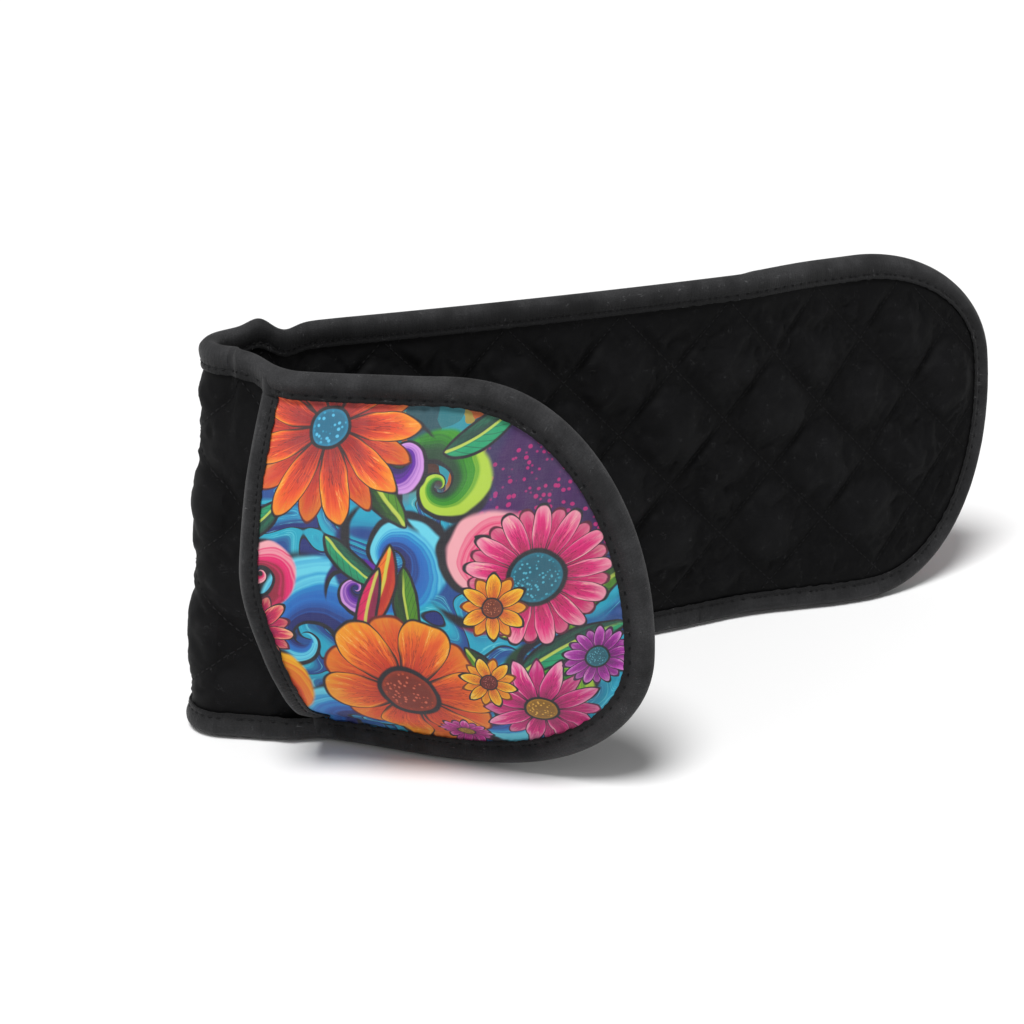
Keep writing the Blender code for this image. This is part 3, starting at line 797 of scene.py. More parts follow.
stitch_rows = {}
for side in ("near", "far"):
    stitch_rows[side, "front"] = edge_stitches(f"{side}_front_topstitching", side, 1)
    stitch_rows[side, "palm"] = edge_stitches(f"{side}_palm_topstitching", side, -1)
    stitch_rows[side, "mouth"] = edge_stitches(f"{side}_mouth_topstitching", f"{side} mouth", 1)
for edge_name in ("upper", "lower"):
    stitch_rows[edge_name, "front"] = edge_stitches(f"band_{edge_name}_outer_topstitching", edge_name, 1)
    stitch_rows[edge_name, "palm"] = edge_stitches(f"band_{edge_name}_palm_topstitching", edge_name, -1)
print(len(stitch_rows), "rows of topstitching")

# %% [markdown]
# ## Quilting stitches
# The quilting lines run both ways across the strip, and their stitches lie at the bottom of the
# valleys between the pillows. They are laid line by line on the flat strip, and the ones under a
# binding or outside a mitt's round end are left out.

# %% Stitches along the quilting lines
QUILT_STITCH_PITCH = 0.0032
SEEN_PAST_MOUTH = 0.050


def quilt_places(begin, end):
    """Flat places and slant of the quilting stitches between two distances along the strip."""
    found = []
    step = QUILT_STITCH_PITCH / math.sqrt(2)
    for slant, begins in ((1, RISING_START), (-1, FALLING_START)):
        first = math.floor((begin - STRIP_WIDTH) / QUILT_PITCH)
        last = math.ceil((end + STRIP_WIDTH) / QUILT_PITCH)
        for line in range(first, last + 1):
            height = np.arange(BINDING_WIDTH + step, STRIP_WIDTH - BINDING_WIDTH, step)
            along = begins + line * QUILT_PITCH + slant * height
            inside = (along > begin) & (along < end)
            found.append(np.stack([along[inside], height[inside], np.full(inside.sum(), slant)]))
    return np.concatenate(found, axis=1)


def quilt_stitches(body, begin, end):
    """The quilting stitches on both faces of one body's stretch of the strip. On the face that a
    pocket covers, only the ones that can be seen through its mouth are made."""
    shape = bead(STITCH_LENGTH, 0.00060, 0.0005, around=4, rings=4)
    x, y, z = shape[0].T
    along, height, slant = quilt_places(begin, end)
    clear = strip_measures(body, along, height)[0] > PINCH
    by_mouth = along_of(body, along) > POCKET_DEPTH - SEEN_PAST_MOUTH
    seen = clear if body == "band" else clear & by_mouth
    beads = []
    for face, shown in enumerate((clear, seen)):
        a, h, s = (value[shown][:, None] for value in (along, height, slant))
        at_along = a + (s * x - y) / math.sqrt(2)
        at_height = h + (x + s * y) / math.sqrt(2)
        surface = strip_faces(a, h, *strip_measures(body, a, h))[face]
        lift = 0.00018 - 0.00030 * (x / (STITCH_LENGTH / 2)) ** 2
        out = surface + (lift + z) * (1 if face else -1)
        beads.append(place(at_along, at_height, out))
    return lay_beads(f"{body}_quilting_stitches", shape, np.concatenate(beads))


quilting = {
    "near": quilt_stitches("near", 0.0, CUT_FROM_TIP),
    "band": quilt_stitches("band", CUT_FROM_TIP, TOTAL - CUT_FROM_TIP),
    "far": quilt_stitches("far", TOTAL - CUT_FROM_TIP, TOTAL),
}
print("quilting stitches:", {k: len(o.data.polygons) for k, o in quilting.items()}, "faces")

# %% [markdown]
# ## Reckoning inside a shader
# Every finish below is a small graph of shader nodes. Written node by node, a formula such as a
# petal's outline takes a page, so a wire is wrapped in a class whose + - * / each make one Math
# node. The graph that results is an ordinary one and can be opened and changed in the editor.

# %% Wires that can be added and multiplied


class Wire:
    """An output socket in a node tree that is reckoned with like a number."""

    def __init__(self, tree, socket):
        self.tree, self.socket = tree, socket

    def math(self, operation, *others):
        node = self.tree.nodes.new("ShaderNodeMath")
        node.operation = operation
        for slot_in, value in zip(node.inputs, (self, *others)):
            feed(self.tree, slot_in, value)
        return Wire(self.tree, node.outputs[0])

    def __add__(self, other):
        return self.math("ADD", other)

    def __sub__(self, other):
        return self.math("SUBTRACT", other)

    def __mul__(self, other):
        return self.math("MULTIPLY", other)

    def __truediv__(self, other):
        return self.math("DIVIDE", other)

    __radd__ = __add__
    __rmul__ = __mul__

    def __rsub__(self, other):
        return (self * -1.0) + other

    def power(self, other):
        return self.math("POWER", other)

    def size(self):
        return self.math("ABSOLUTE")

    def held(self):
        """Kept between 0 and 1."""
        return self.math("MINIMUM", 1.0).math("MAXIMUM", 0.0)

    def sine(self):
        return self.math("SINE")

    def cosine(self):
        return self.math("COSINE")

    def step(self, low, high):
        """0 below low, 1 above high and a smooth step between; low may be the larger one."""
        node = self.tree.nodes.new("ShaderNodeMapRange")
        node.interpolation_type, node.clamp = "SMOOTHSTEP", False
        for name, value in (("Value", self), ("From Min", low), ("From Max", high)):
            feed(self.tree, node.inputs[name], value)
        return Wire(self.tree, node.outputs["Result"])


def feed(tree, socket, value):
    """Links a wire to a socket, or sets the socket to a plain value."""
    if isinstance(value, Wire):
        tree.links.new(value.socket, socket)
    elif isinstance(value, tuple) and len(value) == 3 and socket.type == "RGBA":
        socket.default_value = (*value, 1.0)
    else:
        socket.default_value = value


def add_node(tree, kind, settings=None, **inputs):
    """A node of a kind with its settings and inputs; a space in an input's name is written _."""
    node = tree.nodes.new(kind)
    for name, value in (settings or {}).items():
        setattr(node, name, value)
    for name, value in inputs.items():
        feed(tree, node.inputs[name.replace("_", " ")], value)
    return node


def mix(tree, share, low, high):
    """A colour between two colours."""
    node = tree.nodes.new("ShaderNodeMix")
    node.data_type = "RGBA"
    feed(tree, node.inputs[0], share)
    feed(tree, node.inputs[6], low)
    feed(tree, node.inputs[7], high)
    return Wire(tree, node.outputs[2])


def apart(tree, vector):
    """The first two parts of a vector."""
    node = add_node(tree, "ShaderNodeSeparateXYZ", Vector=vector)
    return Wire(tree, node.outputs["X"]), Wire(tree, node.outputs["Y"])


def together(tree, x, y, z=0.0):
    """A vector from its parts."""
    return Wire(tree, add_node(tree, "ShaderNodeCombineXYZ", X=x, Y=y, Z=z).outputs["Vector"])


def noise(tree, vector, scale, detail=2.0, roughness=0.5, distortion=0.0):
    """Blender's noise texture, between 0 and 1 with most of it near 0.5."""
    node = add_node(
        tree, "ShaderNodeTexNoise", Vector=vector, Scale=scale, Detail=detail,
        Roughness=roughness, Distortion=distortion,
    )
    return Wire(tree, node.outputs["Fac"])


SOCKET_KINDS = {"value": "NodeSocketFloat", "vector": "NodeSocketVector", "colour": "NodeSocketColor"}


def new_group(name, inputs, outputs):
    """A shader node group with named sockets; returns the tree, its input wires and its end node."""
    tree = bpy.data.node_groups.new(name, "ShaderNodeTree")
    for title, (kind, value) in inputs.items():
        socket = tree.interface.new_socket(title, in_out="INPUT", socket_type=SOCKET_KINDS[kind])
        if value is not None:
            socket.default_value = value
    for title, kind in outputs.items():
        tree.interface.new_socket(title, in_out="OUTPUT", socket_type=SOCKET_KINDS[kind])
    begin = tree.nodes.new("NodeGroupInput")
    end = tree.nodes.new("NodeGroupOutput")
    return tree, {title: Wire(tree, begin.outputs[title]) for title in inputs}, end


def use_group(tree, group, **inputs):
    """Places a group in a tree and returns its output wires by name."""
    node = tree.nodes.new("ShaderNodeGroup")
    node.node_tree = group
    for name, value in inputs.items():
        feed(tree, node.inputs[name.replace("_", " ")], value)
    return {socket.name: Wire(tree, socket) for socket in node.outputs}


def new_material(name):
    """A material with an empty graph, its Principled shader and the cloth's own map in metres."""
    material = bpy.data.materials.new(name)
    material.use_nodes = True
    tree = material.node_tree
    shader = tree.nodes["Principled BSDF"]
    cloth_map = Wire(tree, add_node(tree, "ShaderNodeUVMap", {"uv_map": "Cloth"}).outputs["UV"])
    return material, tree, shader, cloth_map


def mark_wire(tree, name):
    """A mark that the piece carries on its points, such as how near the fold it is."""
    return Wire(tree, add_node(tree, "ShaderNodeAttribute", {"attribute_name": name}).outputs["Fac"])


# %% [markdown]
# ## Weave, lint, and wear with painted highlight
# Three effects are shared by the cloths, so each is a node group. Plain weave is two sets of
# threads that pass over each other by turns: each thread is the size of a sine, and a
# checkerboard says which set is on top. With Twill at 1 the checkerboard moves along by one thread
# a row, so the upper threads line up in fine ribs: a plain stand-in for the tape's slanted twill.
# Lint is a few pale fibres, and the wear group greys black cotton where it is used most; on the quilt
# its mark follows the pillow tops, so there it is also a painted highlight.

# %% Shared cloth groups


def weave_group():
    """Height and colour variation of woven thread. u and v are places over the thread's pitch;
    the height is the larger of the two sines where its set of threads is on top."""
    tree, given, end = new_group(
        "weave",
        {"Map": ("vector", None), "Pitch": ("value", 0.0006), "Twill": ("value", 0.0)},
        {"Height": "value", "Tone": "value"},
    )
    wobble = noise(tree, given["Map"], 90.0, 2.0) - 0.5
    u, v = apart(tree, given["Map"])
    u = (u / given["Pitch"]) + wobble * 0.9
    v = (v / given["Pitch"]) - wobble * 0.9
    slip = v.math("FLOOR") * given["Twill"]
    warp = (u * math.pi).sine().size()
    weft = (v * math.pi).sine().size()
    turn = ((u.math("FLOOR") + v.math("FLOOR") + slip) * 0.5).math("FRACT")
    over = turn.step(0.24, 0.26)
    height = warp.power(0.6) * over + weft.power(0.6) * (1.0 - over)
    cell = together(tree, u.math("FLOOR"), v.math("FLOOR") * 0.07)
    cross = together(tree, u.math("FLOOR") * 0.07, v.math("FLOOR"))
    tone = noise(tree, cell, 0.9, 0.0) * over + noise(tree, cross, 0.9, 0.0) * (1.0 - over)
    feed(tree, end.inputs["Height"], height)
    feed(tree, end.inputs["Tone"], tone)
    return tree


def lint_group():
    """A mask of sparse fibres: the thin zero lines of a stretched noise, kept only in patches."""
    tree, given, end = new_group(
        "lint", {"Map": ("vector", None), "Amount": ("value", 0.4)}, {"Mask": "value"}
    )
    u, v = apart(tree, given["Map"])
    threads = 0.0
    for k, (across, down) in enumerate(((420.0, 90.0), (110.0, 380.0))):
        fibre = noise(tree, together(tree, u * across, v * down, 3.0 + k), 1.0, 1.0, 0.5, 1.6)
        line = (fibre - 0.5).size().step(0.010, 0.0)
        patch = noise(tree, together(tree, u, v, 9.0 + k), 140.0, 1.0).step(0.60, 0.72)
        threads = line * patch + threads
    feed(tree, end.inputs["Mask"], threads.math("MINIMUM", 1.0) * given["Amount"])
    return tree


def wear_and_highlight_group():
    """A mask of wear, and on the quilt a painted highlight as well: a mark carried by the piece, broken
    up by noise at two scales.
    """
    tree, given, end = new_group(
        "wear_and_highlight",
        {"Map": ("vector", None), "Mark": ("value", 0.0), "Strength": ("value", 1.0)},
        {"Mask": "value"},
    )
    broad = noise(tree, given["Map"], 55.0, 3.0, 0.6)
    fine = noise(tree, given["Map"], 1300.0, 2.0, 0.7)
    mask = given["Mark"] * broad.step(0.30, 0.72) * (fine.step(0.25, 0.75) * 0.7 + 0.3)
    feed(tree, end.inputs["Mask"], mask * given["Strength"])
    return tree


WEAVE, LINT, WEAR_AND_HIGHLIGHT = weave_group(), lint_group(), wear_and_highlight_group()

# %% [markdown]
# ## Black cottons
# The quilted cotton is dense, nearly black and slightly silky. The tape is a coarser, hairier twill
# that has greyed, so it reads lighter than the cloth. Both take their fine relief from the weave
# and a soft sheen from the fibres' ends. Sheen is the same all over, so it is set on the shader.

# %% Quilt, lining, tape and thread


def black_cotton(name, dark, light, pitch, twill, relief, sheen, lint, mark, rub_and_highlight):
    """One of the black cloths. dark and light are the ends of its colour, and mark is the piece's
    mark: the colour is darker where it is low and greys with wear where it is high. On the quilt it
    follows the pillow tops, so there it also paints shade in the valleys and a highlight on the tops."""
    material, tree, shader, cloth_map = new_material(name)
    weave = use_group(tree, WEAVE, Map=cloth_map, Pitch=pitch, Twill=twill)
    fade = noise(tree, cloth_map, 38.0, 4.0, 0.6)
    fleck = noise(tree, cloth_map, 1800.0, 2.0, 0.8)
    wear_and_light_mark = mark_wire(tree, mark)
    # Darker where the mark is low: on the quilt, painted shade in the valleys between the pillows.
    share = (weave["Tone"] * 0.22 + fade * 0.35 + fleck * 0.62 - 0.17) * (0.45 + wear_and_light_mark * 0.55)
    colour = mix(tree, share.held(), dark, light)
    # Greyer where the mark is high: wear, and on the quilt also a painted highlight on the pillow tops.
    greying_mask = use_group(tree, WEAR_AND_HIGHLIGHT, Map=cloth_map, Mark=wear_and_light_mark, Strength=rub_and_highlight)
    colour = mix(tree, greying_mask["Mask"], colour, tuple(min(1.0, value * 2.2) for value in light))
    fibres = use_group(tree, LINT, Map=cloth_map, Amount=lint)
    colour = mix(tree, fibres["Mask"], colour, (0.16, 0.16, 0.165))
    feed(tree, shader.inputs["Base Color"], colour)
    feed(tree, shader.inputs["Roughness"], 0.56 + fade * 0.2)
    shader.inputs["Sheen Weight"].default_value = sheen
    shader.inputs["Sheen Roughness"].default_value = 0.45
    shader.inputs["Specular IOR Level"].default_value = 0.09
    fuzz = weave["Height"] * 0.40 + fleck * 0.85
    bump_node = add_node(tree, "ShaderNodeBump", Strength=0.7, Distance=relief, Height=fuzz)
    feed(tree, shader.inputs["Normal"], Wire(tree, bump_node.outputs["Normal"]))
    return material


# The quilt's mark is its pillow tops, so its colour carries painted shade in the valleys and a painted
# highlight on the tops, besides wear.
BLACK_CLOTH = black_cotton(
    "black_quilted_cotton", (0.0012, 0.0012, 0.0014), (0.0060, 0.0060, 0.0067), 0.00055, 0.0,
    0.00012, 0.008, 0.25, "centre", 0.45,
)
LINING = black_cotton(
    "black_lining_cotton", (0.0014, 0.0014, 0.0016), (0.0064, 0.0064, 0.0070), 0.00060, 0.0,
    0.00012, 0.02, 0.20, "centre", 0.05,
)
BINDING_COTTON = black_cotton(
    "black_binding_twill", (0.0016, 0.0016, 0.0018), (0.0440, 0.0440, 0.0460), 0.00085, 1.0,
    0.00032, 0.070, 0.60, "fold", 0.50,
)


def thread_finish():
    """Twisted black thread: a fine slanted wave along each stitch, a little shinier than cloth."""
    material, tree, shader, cloth_map = new_material("black_sewing_thread")
    u, v = apart(tree, cloth_map)
    ply = ((u + v * 1.2) * (2 * math.pi / 0.00042)).sine() * 0.5 + 0.5
    tone = mark_wire(tree, "tone")
    colour = mix(tree, ply * 0.6 + tone * 0.4, (0.0015, 0.0015, 0.0018), (0.0075, 0.0075, 0.0085))
    feed(tree, shader.inputs["Base Color"], colour)
    feed(tree, shader.inputs["Roughness"], 0.72 - ply * 0.14)
    shader.inputs["Specular IOR Level"].default_value = 0.2
    bump_node = add_node(tree, "ShaderNodeBump", Strength=0.6, Distance=0.00008, Height=ply)
    feed(tree, shader.inputs["Normal"], Wire(tree, bump_node.outputs["Normal"]))
    return material


THREAD = thread_finish()

# %% [markdown]
# ## The print: flowers, leaves and scrolls from formulas
# The print is a bold painted floral with dark outlines. It is drawn with formulas and no picture:
# a flower is a radius that grows and shrinks with the angle, a leaf is a lens, a scroll is a
# spiral band. Each is a node group that paints itself over the colour below it, the way a screen
# printer lays one colour over another, so the design is a list of calls from back to front.

# %% A frame for each motif
INK = (0.010, 0.010, 0.035)


def motif_inputs(extra):
    """The sockets that every motif has: the colour below, the map, where it lies and how big."""
    sockets = {
        "Below": ("colour", (0.5, 0.5, 0.5, 1.0)), "Map": ("vector", None), "X": ("value", 0.0),
        "Y": ("value", 0.0), "Turn": ("value", 0.0), "Size": ("value", 0.02),
    }
    sockets.update(extra)
    return sockets


def local_axes(tree, given):
    """The map seen from a motif: moved to its middle, turned by its turn, over its size. A billionth
    of the colour below is added. It moves nothing, but it makes the renderer finish that colour
    before it starts on this motif, so it never has to hold every motif in its memory at once."""
    red = Wire(tree, add_node(tree, "ShaderNodeSeparateColor", Color=given["Below"]).outputs[0])
    nudge = red * 1.0e-9
    u, v = apart(tree, given["Map"])
    u, v = (u - given["X"]) + nudge, (v - given["Y"]) + nudge
    cos, sin = given["Turn"].cosine(), given["Turn"].sine()
    x = (u * cos + v * sin) / given["Size"]
    y = (v * cos - u * sin) / given["Size"]
    return x, y


def painted(tree, given, x, y, ratio=7.0):
    """Brush streaks for a motif: a noise drawn out along x."""
    return noise(tree, together(tree, x * 1.1, y * ratio, given["X"] * 300.0), 1.0, 3.0, 0.6, 0.4)


# %% Flower


def flower_group():
    """Petals: with t the way from a petal's middle to the gap beside it, 0 to 1, the outline's radius
    is 0.3 + 0.7 (1 - t to a power): a power near 1 gives pointed petals and a high one broad ones.
    Two layers of petals are turned by half a petal. A disc with seeds lies in the middle."""
    tree, given, end = new_group(
        "flower",
        motif_inputs({
            "Petals": ("value", 7.0), "Broad": ("value", 2.0), "Squash": ("value", 1.0),
            "Base": ("colour", None), "Petal": ("colour", None), "Tip": ("colour", None),
            "Disc": ("colour", None), "Disc Size": ("value", 0.25), "Outline": ("value", 0.035),
        }),
        {"Colour": "colour"},
    )
    x, y = local_axes(tree, given)
    y = y * given["Squash"]
    radius = (x * x + y * y).math("SQRT")
    angle = y.math("ARCTAN2", x)
    colour = given["Below"]
    streak_seed = given["X"] * 170.0
    for layer, (reach, half_turn) in enumerate(((0.94, 0.5), (1.0, 0.0))):
        beat = (angle * given["Petals"] * 0.5 + half_turn * math.pi).cosine().size()
        wave = noise(tree, together(tree, angle * 2.0, radius * 2.0, streak_seed), 1.2, 1.0) - 0.5
        off_middle = beat.math("ARCCOSINE") * (2 / math.pi)
        outline = ((1.0 - off_middle.power(given["Broad"])) * 0.70 + 0.30) * reach + wave * 0.10
        inside = (outline - radius).step(-0.012, 0.012)
        rib = (outline - radius - given["Outline"]).step(-0.010, 0.016)
        away = radius / outline
        valley = beat.step(0.18, 0.42)
        grain = together(tree, angle * 9.0, radius * 1.2, layer + streak_seed)
        streaks = noise(tree, grain, 1.6, 3.0, 0.65)
        shade = mix(tree, (away + streaks * 0.8 - 0.40).step(0.22, 0.80), given["Base"], given["Petal"])
        shade = mix(tree, (away + streaks * 0.6 - 0.30).step(0.66, 1.02), shade, given["Tip"])
        vein = (streaks - 0.52).size().step(0.030, 0.0) * away.step(1.00, 0.45) * 0.85
        shade = mix(tree, vein, shade, mix(tree, 0.6, given["Base"], INK))
        glint = (streaks - 0.64).size().step(0.022, 0.0) * away.step(0.35, 0.7) * 0.55
        shade = mix(tree, glint, shade, (1.0, 0.86, 0.62))
        shade = mix(tree, rib * (valley * 0.9 + 0.1), INK, shade)
        if layer == 0:
            shade = mix(tree, 0.35, shade, given["Base"])
        colour = mix(tree, inside, colour, shade)
    hub = radius / given["Disc Size"]
    seeds = add_node(tree, "ShaderNodeTexVoronoi", Vector=together(tree, x, y), Scale=20.0)
    dots = Wire(tree, seeds.outputs["Distance"]).step(0.42, 0.22)
    seed = mix(tree, 0.25, given["Disc"], (0.9, 0.95, 1.0))
    disc = mix(tree, dots, mix(tree, 0.55, given["Disc"], INK), seed)
    disc = mix(tree, hub.step(0.75, 1.0), disc, mix(tree, 0.4, given["Disc"], INK))
    rim = hub.step(1.22, 1.12)
    colour = mix(tree, rim, colour, INK)
    colour = mix(tree, hub.step(1.03, 0.95), colour, disc)
    feed(tree, end.inputs["Colour"], colour)
    return tree


# %% Leaf


def leaf_group():
    """A lens along x that bends: its half width is a share of x times (1 - x) to a power, and its
    middle line is lifted by x squared times the bend. A pale rib runs down the middle and slanted
    veins leave it; one half is darker than the other."""
    tree, given, end = new_group(
        "leaf",
        motif_inputs({
            "Width": ("value", 0.35), "Bend": ("value", 0.3), "Dark": ("colour", None),
            "Light": ("colour", None), "Outline": ("value", 0.03),
        }),
        {"Colour": "colour"},
    )
    x, y = local_axes(tree, given)
    along = x.held()
    y = y - along * along * given["Bend"]
    ends = x.step(-0.01, 0.01) * x.step(1.01, 0.99)
    half = (along * (1.0 - along)).power(0.72) * given["Width"] * 2.0
    inside = (half - y.size()).step(-0.008, 0.008) * ends
    body = (half - y.size() - given["Outline"]).step(-0.008, 0.010)
    streaks = painted(tree, given, x, y, 11.0)
    side = y.step(-0.012, 0.012)
    shade = mix(tree, (side * 0.45 + streaks * 0.9 - 0.15).step(0.1, 0.9), given["Dark"], given["Light"])
    vein = ((along * 9.0 - y.size() * 14.0) * math.pi).sine().size().step(0.30, 0.10)
    shade = mix(tree, vein * 0.45, shade, given["Dark"])
    rib = y.size().step(0.022, 0.008) * along.step(1.0, 0.7)
    shade = mix(tree, rib * 0.8, shade, (0.80, 0.86, 0.30))
    shade = mix(tree, body, INK, shade)
    feed(tree, end.inputs["Colour"], mix(tree, inside, given["Below"], shade))
    return tree


# %% Scroll


def scroll_group():
    """A spiral band that narrows as it winds in: on a spiral the logarithm of the radius grows
    with the angle, so the band is where their difference is near a whole turn. The band is striped
    along its length like a brush stroke and is cut off outside a radius of one."""
    tree, given, end = new_group(
        "scroll",
        motif_inputs({
            "Tightness": ("value", 2.6), "Width": ("value", 0.34), "Dark": ("colour", None),
            "Middle": ("colour", None), "Light": ("colour", None), "Sweep": ("value", 1.0),
        }),
        {"Colour": "colour"},
    )
    x, y = local_axes(tree, given)
    radius = (x * x + y * y).math("SQRT").math("MAXIMUM", 0.02)
    angle = y.math("ARCTAN2", x) * given["Sweep"]
    wave = noise(tree, together(tree, x, y, given["X"] * 120.0), 2.2, 1.0) - 0.5
    turns = radius.math("LOGARITHM", math.e) * given["Tightness"] - angle + wave * 0.5
    share = (turns / (2 * math.pi)).math("FRACT")
    across = (share - 0.5).size() / given["Width"]
    fade = radius.step(1.0, 0.90)
    inside = across.step(1.04, 0.96) * fade * radius.step(0.05, 0.09)
    stripe = noise(tree, together(tree, share * 16.0, turns * 0.22, given["Y"] * 90.0), 1.0, 2.0, 0.6)
    shade = mix(tree, (share + stripe * 0.4 - 0.2).step(0.28, 0.52), given["Dark"], given["Middle"])
    shade = mix(tree, (share + stripe * 0.5 - 0.25).step(0.52, 0.74), shade, given["Light"])
    shade = mix(tree, across.step(0.84, 0.74), INK, shade)
    feed(tree, end.inputs["Colour"], mix(tree, inside, given["Below"], shade))
    return tree


FLOWER, LEAF, SCROLL = flower_group(), leaf_group(), scroll_group()

# %% [markdown]
# ## The ground of the print
# Behind the motifs the cloth is painted with flowing streams of blue and turquoise. A stream is a
# stripe pattern whose place is pushed about by slow noise. Warm dabs lie over the top, where the
# design is looser, and a speckle of magenta lies on violet near the end.

# %% Streams and dabs


def stream_group():
    """Bands of blue: a slow noise bends the map, and the fractional part of a second noise cuts it
    into bands with a dark line between them."""
    tree, given, end = new_group("streams", {"Map": ("vector", None)}, {"Colour": "colour"})
    u, v = apart(tree, given["Map"])
    slow = noise(tree, given["Map"], 14.0, 1.0, 0.5, 0.8)
    bent = together(tree, u + slow * 0.05, v - slow * 0.03)
    field = noise(tree, bent, 17.0, 1.0, 0.4, 1.6) * 9.0
    band = field.math("FRACT")
    which = field.math("FLOOR")
    pick = noise(tree, together(tree, which * 3.7, 1.3), 1.0, 0.0)
    streak = noise(tree, together(tree, band * 6.0, u * 30.0, which), 1.0, 2.0, 0.6)
    deep = mix(tree, pick.step(0.40, 0.62), (0.012, 0.055, 0.30), (0.010, 0.20, 0.50))
    bright = mix(tree, pick.step(0.35, 0.60), (0.02, 0.36, 0.62), (0.10, 0.60, 0.72))
    colour = mix(tree, (band + streak * 0.5 - 0.25).step(0.15, 0.85), deep, bright)
    colour = mix(tree, (streak - 0.60).size().step(0.03, 0.0) * 0.6, colour, (0.45, 0.86, 0.90))
    line = (band - 0.5).size().step(0.455, 0.490)
    colour = mix(tree, line * 0.9, colour, INK)
    feed(tree, end.inputs["Colour"], colour)
    return tree


def dab_group():
    """Loose dabs: cells of a Voronoi pattern, each with its own colour from a ramp of warm and
    cool paints, with ragged edges from noise."""
    tree, given, end = new_group(
        "dabs", {"Map": ("vector", None), "Scale": ("value", 90.0)}, {"Colour": "colour"}
    )
    u, v = apart(tree, given["Map"])
    push_u = noise(tree, given["Map"], 60.0, 2.0) * 0.012
    push_v = noise(tree, together(tree, v, u, 0.4), 60.0, 2.0) * 0.012
    ragged = together(tree, u + push_u, v + push_v)
    cells = add_node(tree, "ShaderNodeTexVoronoi", Vector=ragged, Scale=given["Scale"])
    paint_number = add_node(tree, "ShaderNodeSeparateColor", Color=Wire(tree, cells.outputs["Color"]))
    pick = Wire(tree, paint_number.outputs[0])
    ramp = tree.nodes.new("ShaderNodeValToRGB")
    paints = (
        (0.0, (0.02, 0.16, 0.20)), (0.20, (0.03, 0.30, 0.34)), (0.40, (0.62, 0.20, 0.03)),
        (0.58, (0.14, 0.05, 0.03)), (0.70, (0.50, 0.42, 0.16)), (0.84, (0.02, 0.42, 0.50)),
    )
    while len(ramp.color_ramp.elements) < len(paints):
        ramp.color_ramp.elements.new(0.5)
    for element, (position, paint) in zip(ramp.color_ramp.elements, paints):
        element.position, element.color = position, (*paint, 1.0)
    ramp.color_ramp.interpolation = "CONSTANT"
    feed(tree, ramp.inputs["Fac"], pick)
    feed(tree, end.inputs["Colour"], Wire(tree, ramp.outputs["Color"]))
    return tree


STREAMS, DABS = stream_group(), dab_group()

# %% [markdown]
# ## Laying out the print
# The map of a pocket runs from the tip to the mouth and from the lower edge to the upper one, in
# metres. The motifs are placed on it one by one: a large orange bloom by the mouth, a broad one below
# the middle, pink flowers towards the tip, and leaves and scrolls that flow between them.

# %% The printed cotton
GREENS = ((0.010, 0.075, 0.030), (0.19, 0.42, 0.06))
FLAMES = ((0.62, 0.03, 0.015), (1.0, 0.34, 0.05))
ROSES = ((0.34, 0.01, 0.12), (0.90, 0.20, 0.32))
TEALS = ((0.005, 0.085, 0.075), (0.10, 0.50, 0.30))
PINKS = ((0.45, 0.02, 0.10), (0.90, 0.16, 0.34), (1.0, 0.62, 0.66))
BLUES = ((0.012, 0.04, 0.26), (0.02, 0.26, 0.66), (0.35, 0.80, 0.92))
VIOLETS = ((0.06, 0.02, 0.22), (0.26, 0.10, 0.50), (0.78, 0.50, 0.85))
FIRES = ((0.50, 0.03, 0.015), (0.92, 0.20, 0.02), (1.0, 0.62, 0.10))
LIMES = ((0.010, 0.12, 0.05), (0.12, 0.42, 0.08), (0.62, 0.78, 0.22))

SCROLLS = (
    # x, y, turn, size, tightness, width, sweep, colours
    (0.140, 0.070, 0.4, 0.040, 2.4, 0.36, 1.0, BLUES),
    (0.122, 0.022, 2.2, 0.030, 2.6, 0.36, -1.0, BLUES),
    (0.160, 0.046, 1.2, 0.022, 2.8, 0.38, 1.0, FIRES),
    (0.104, 0.108, 1.9, 0.026, 2.6, 0.38, 1.0, BLUES),
    (0.086, 0.138, 4.2, 0.022, 2.9, 0.38, -1.0, LIMES),
    (0.064, 0.102, 0.2, 0.027, 2.5, 0.40, 1.0, PINKS),
    (0.102, 0.148, 3.4, 0.015, 3.0, 0.38, 1.0, VIOLETS),
    (0.070, 0.034, 5.2, 0.024, 2.7, 0.38, -1.0, BLUES),
    (0.040, 0.056, 2.6, 0.020, 2.7, 0.38, 1.0, LIMES),
    (0.118, 0.094, 5.0, 0.014, 3.0, 0.38, -1.0, VIOLETS),
    (0.158, 0.098, 0.8, 0.016, 2.8, 0.38, 1.0, PINKS),
)
LEAVES = (
    # x, y, turn, size, width, bend, colours
    (0.098, 0.120, 0.75, 0.052, 0.20, 0.35, GREENS),
    (0.086, 0.150, 2.85, 0.036, 0.24, -0.30, TEALS),
    (0.070, 0.118, 3.60, 0.058, 0.16, 0.40, GREENS),
    (0.060, 0.076, 2.95, 0.056, 0.17, -0.35, GREENS),
    (0.052, 0.058, 2.40, 0.044, 0.20, 0.30, TEALS),
    (0.092, 0.070, 1.10, 0.034, 0.24, 0.30, GREENS),
    (0.132, 0.116, 4.10, 0.034, 0.22, -0.30, TEALS),
    (0.088, 0.016, 0.40, 0.036, 0.22, 0.25, GREENS),
    (0.112, 0.034, 3.90, 0.030, 0.24, -0.25, TEALS),
    (0.048, 0.026, 3.00, 0.034, 0.22, 0.25, GREENS),
    (0.150, 0.130, 5.30, 0.030, 0.24, 0.25, TEALS),
    (0.104, 0.114, 4.75, 0.050, 0.17, 0.35, FLAMES),
    (0.108, 0.104, 5.10, 0.042, 0.15, -0.25, ROSES),
    (0.074, 0.070, 3.95, 0.036, 0.22, 0.30, GREENS),
    (0.118, 0.080, 4.30, 0.030, 0.20, 0.30, ROSES),
)
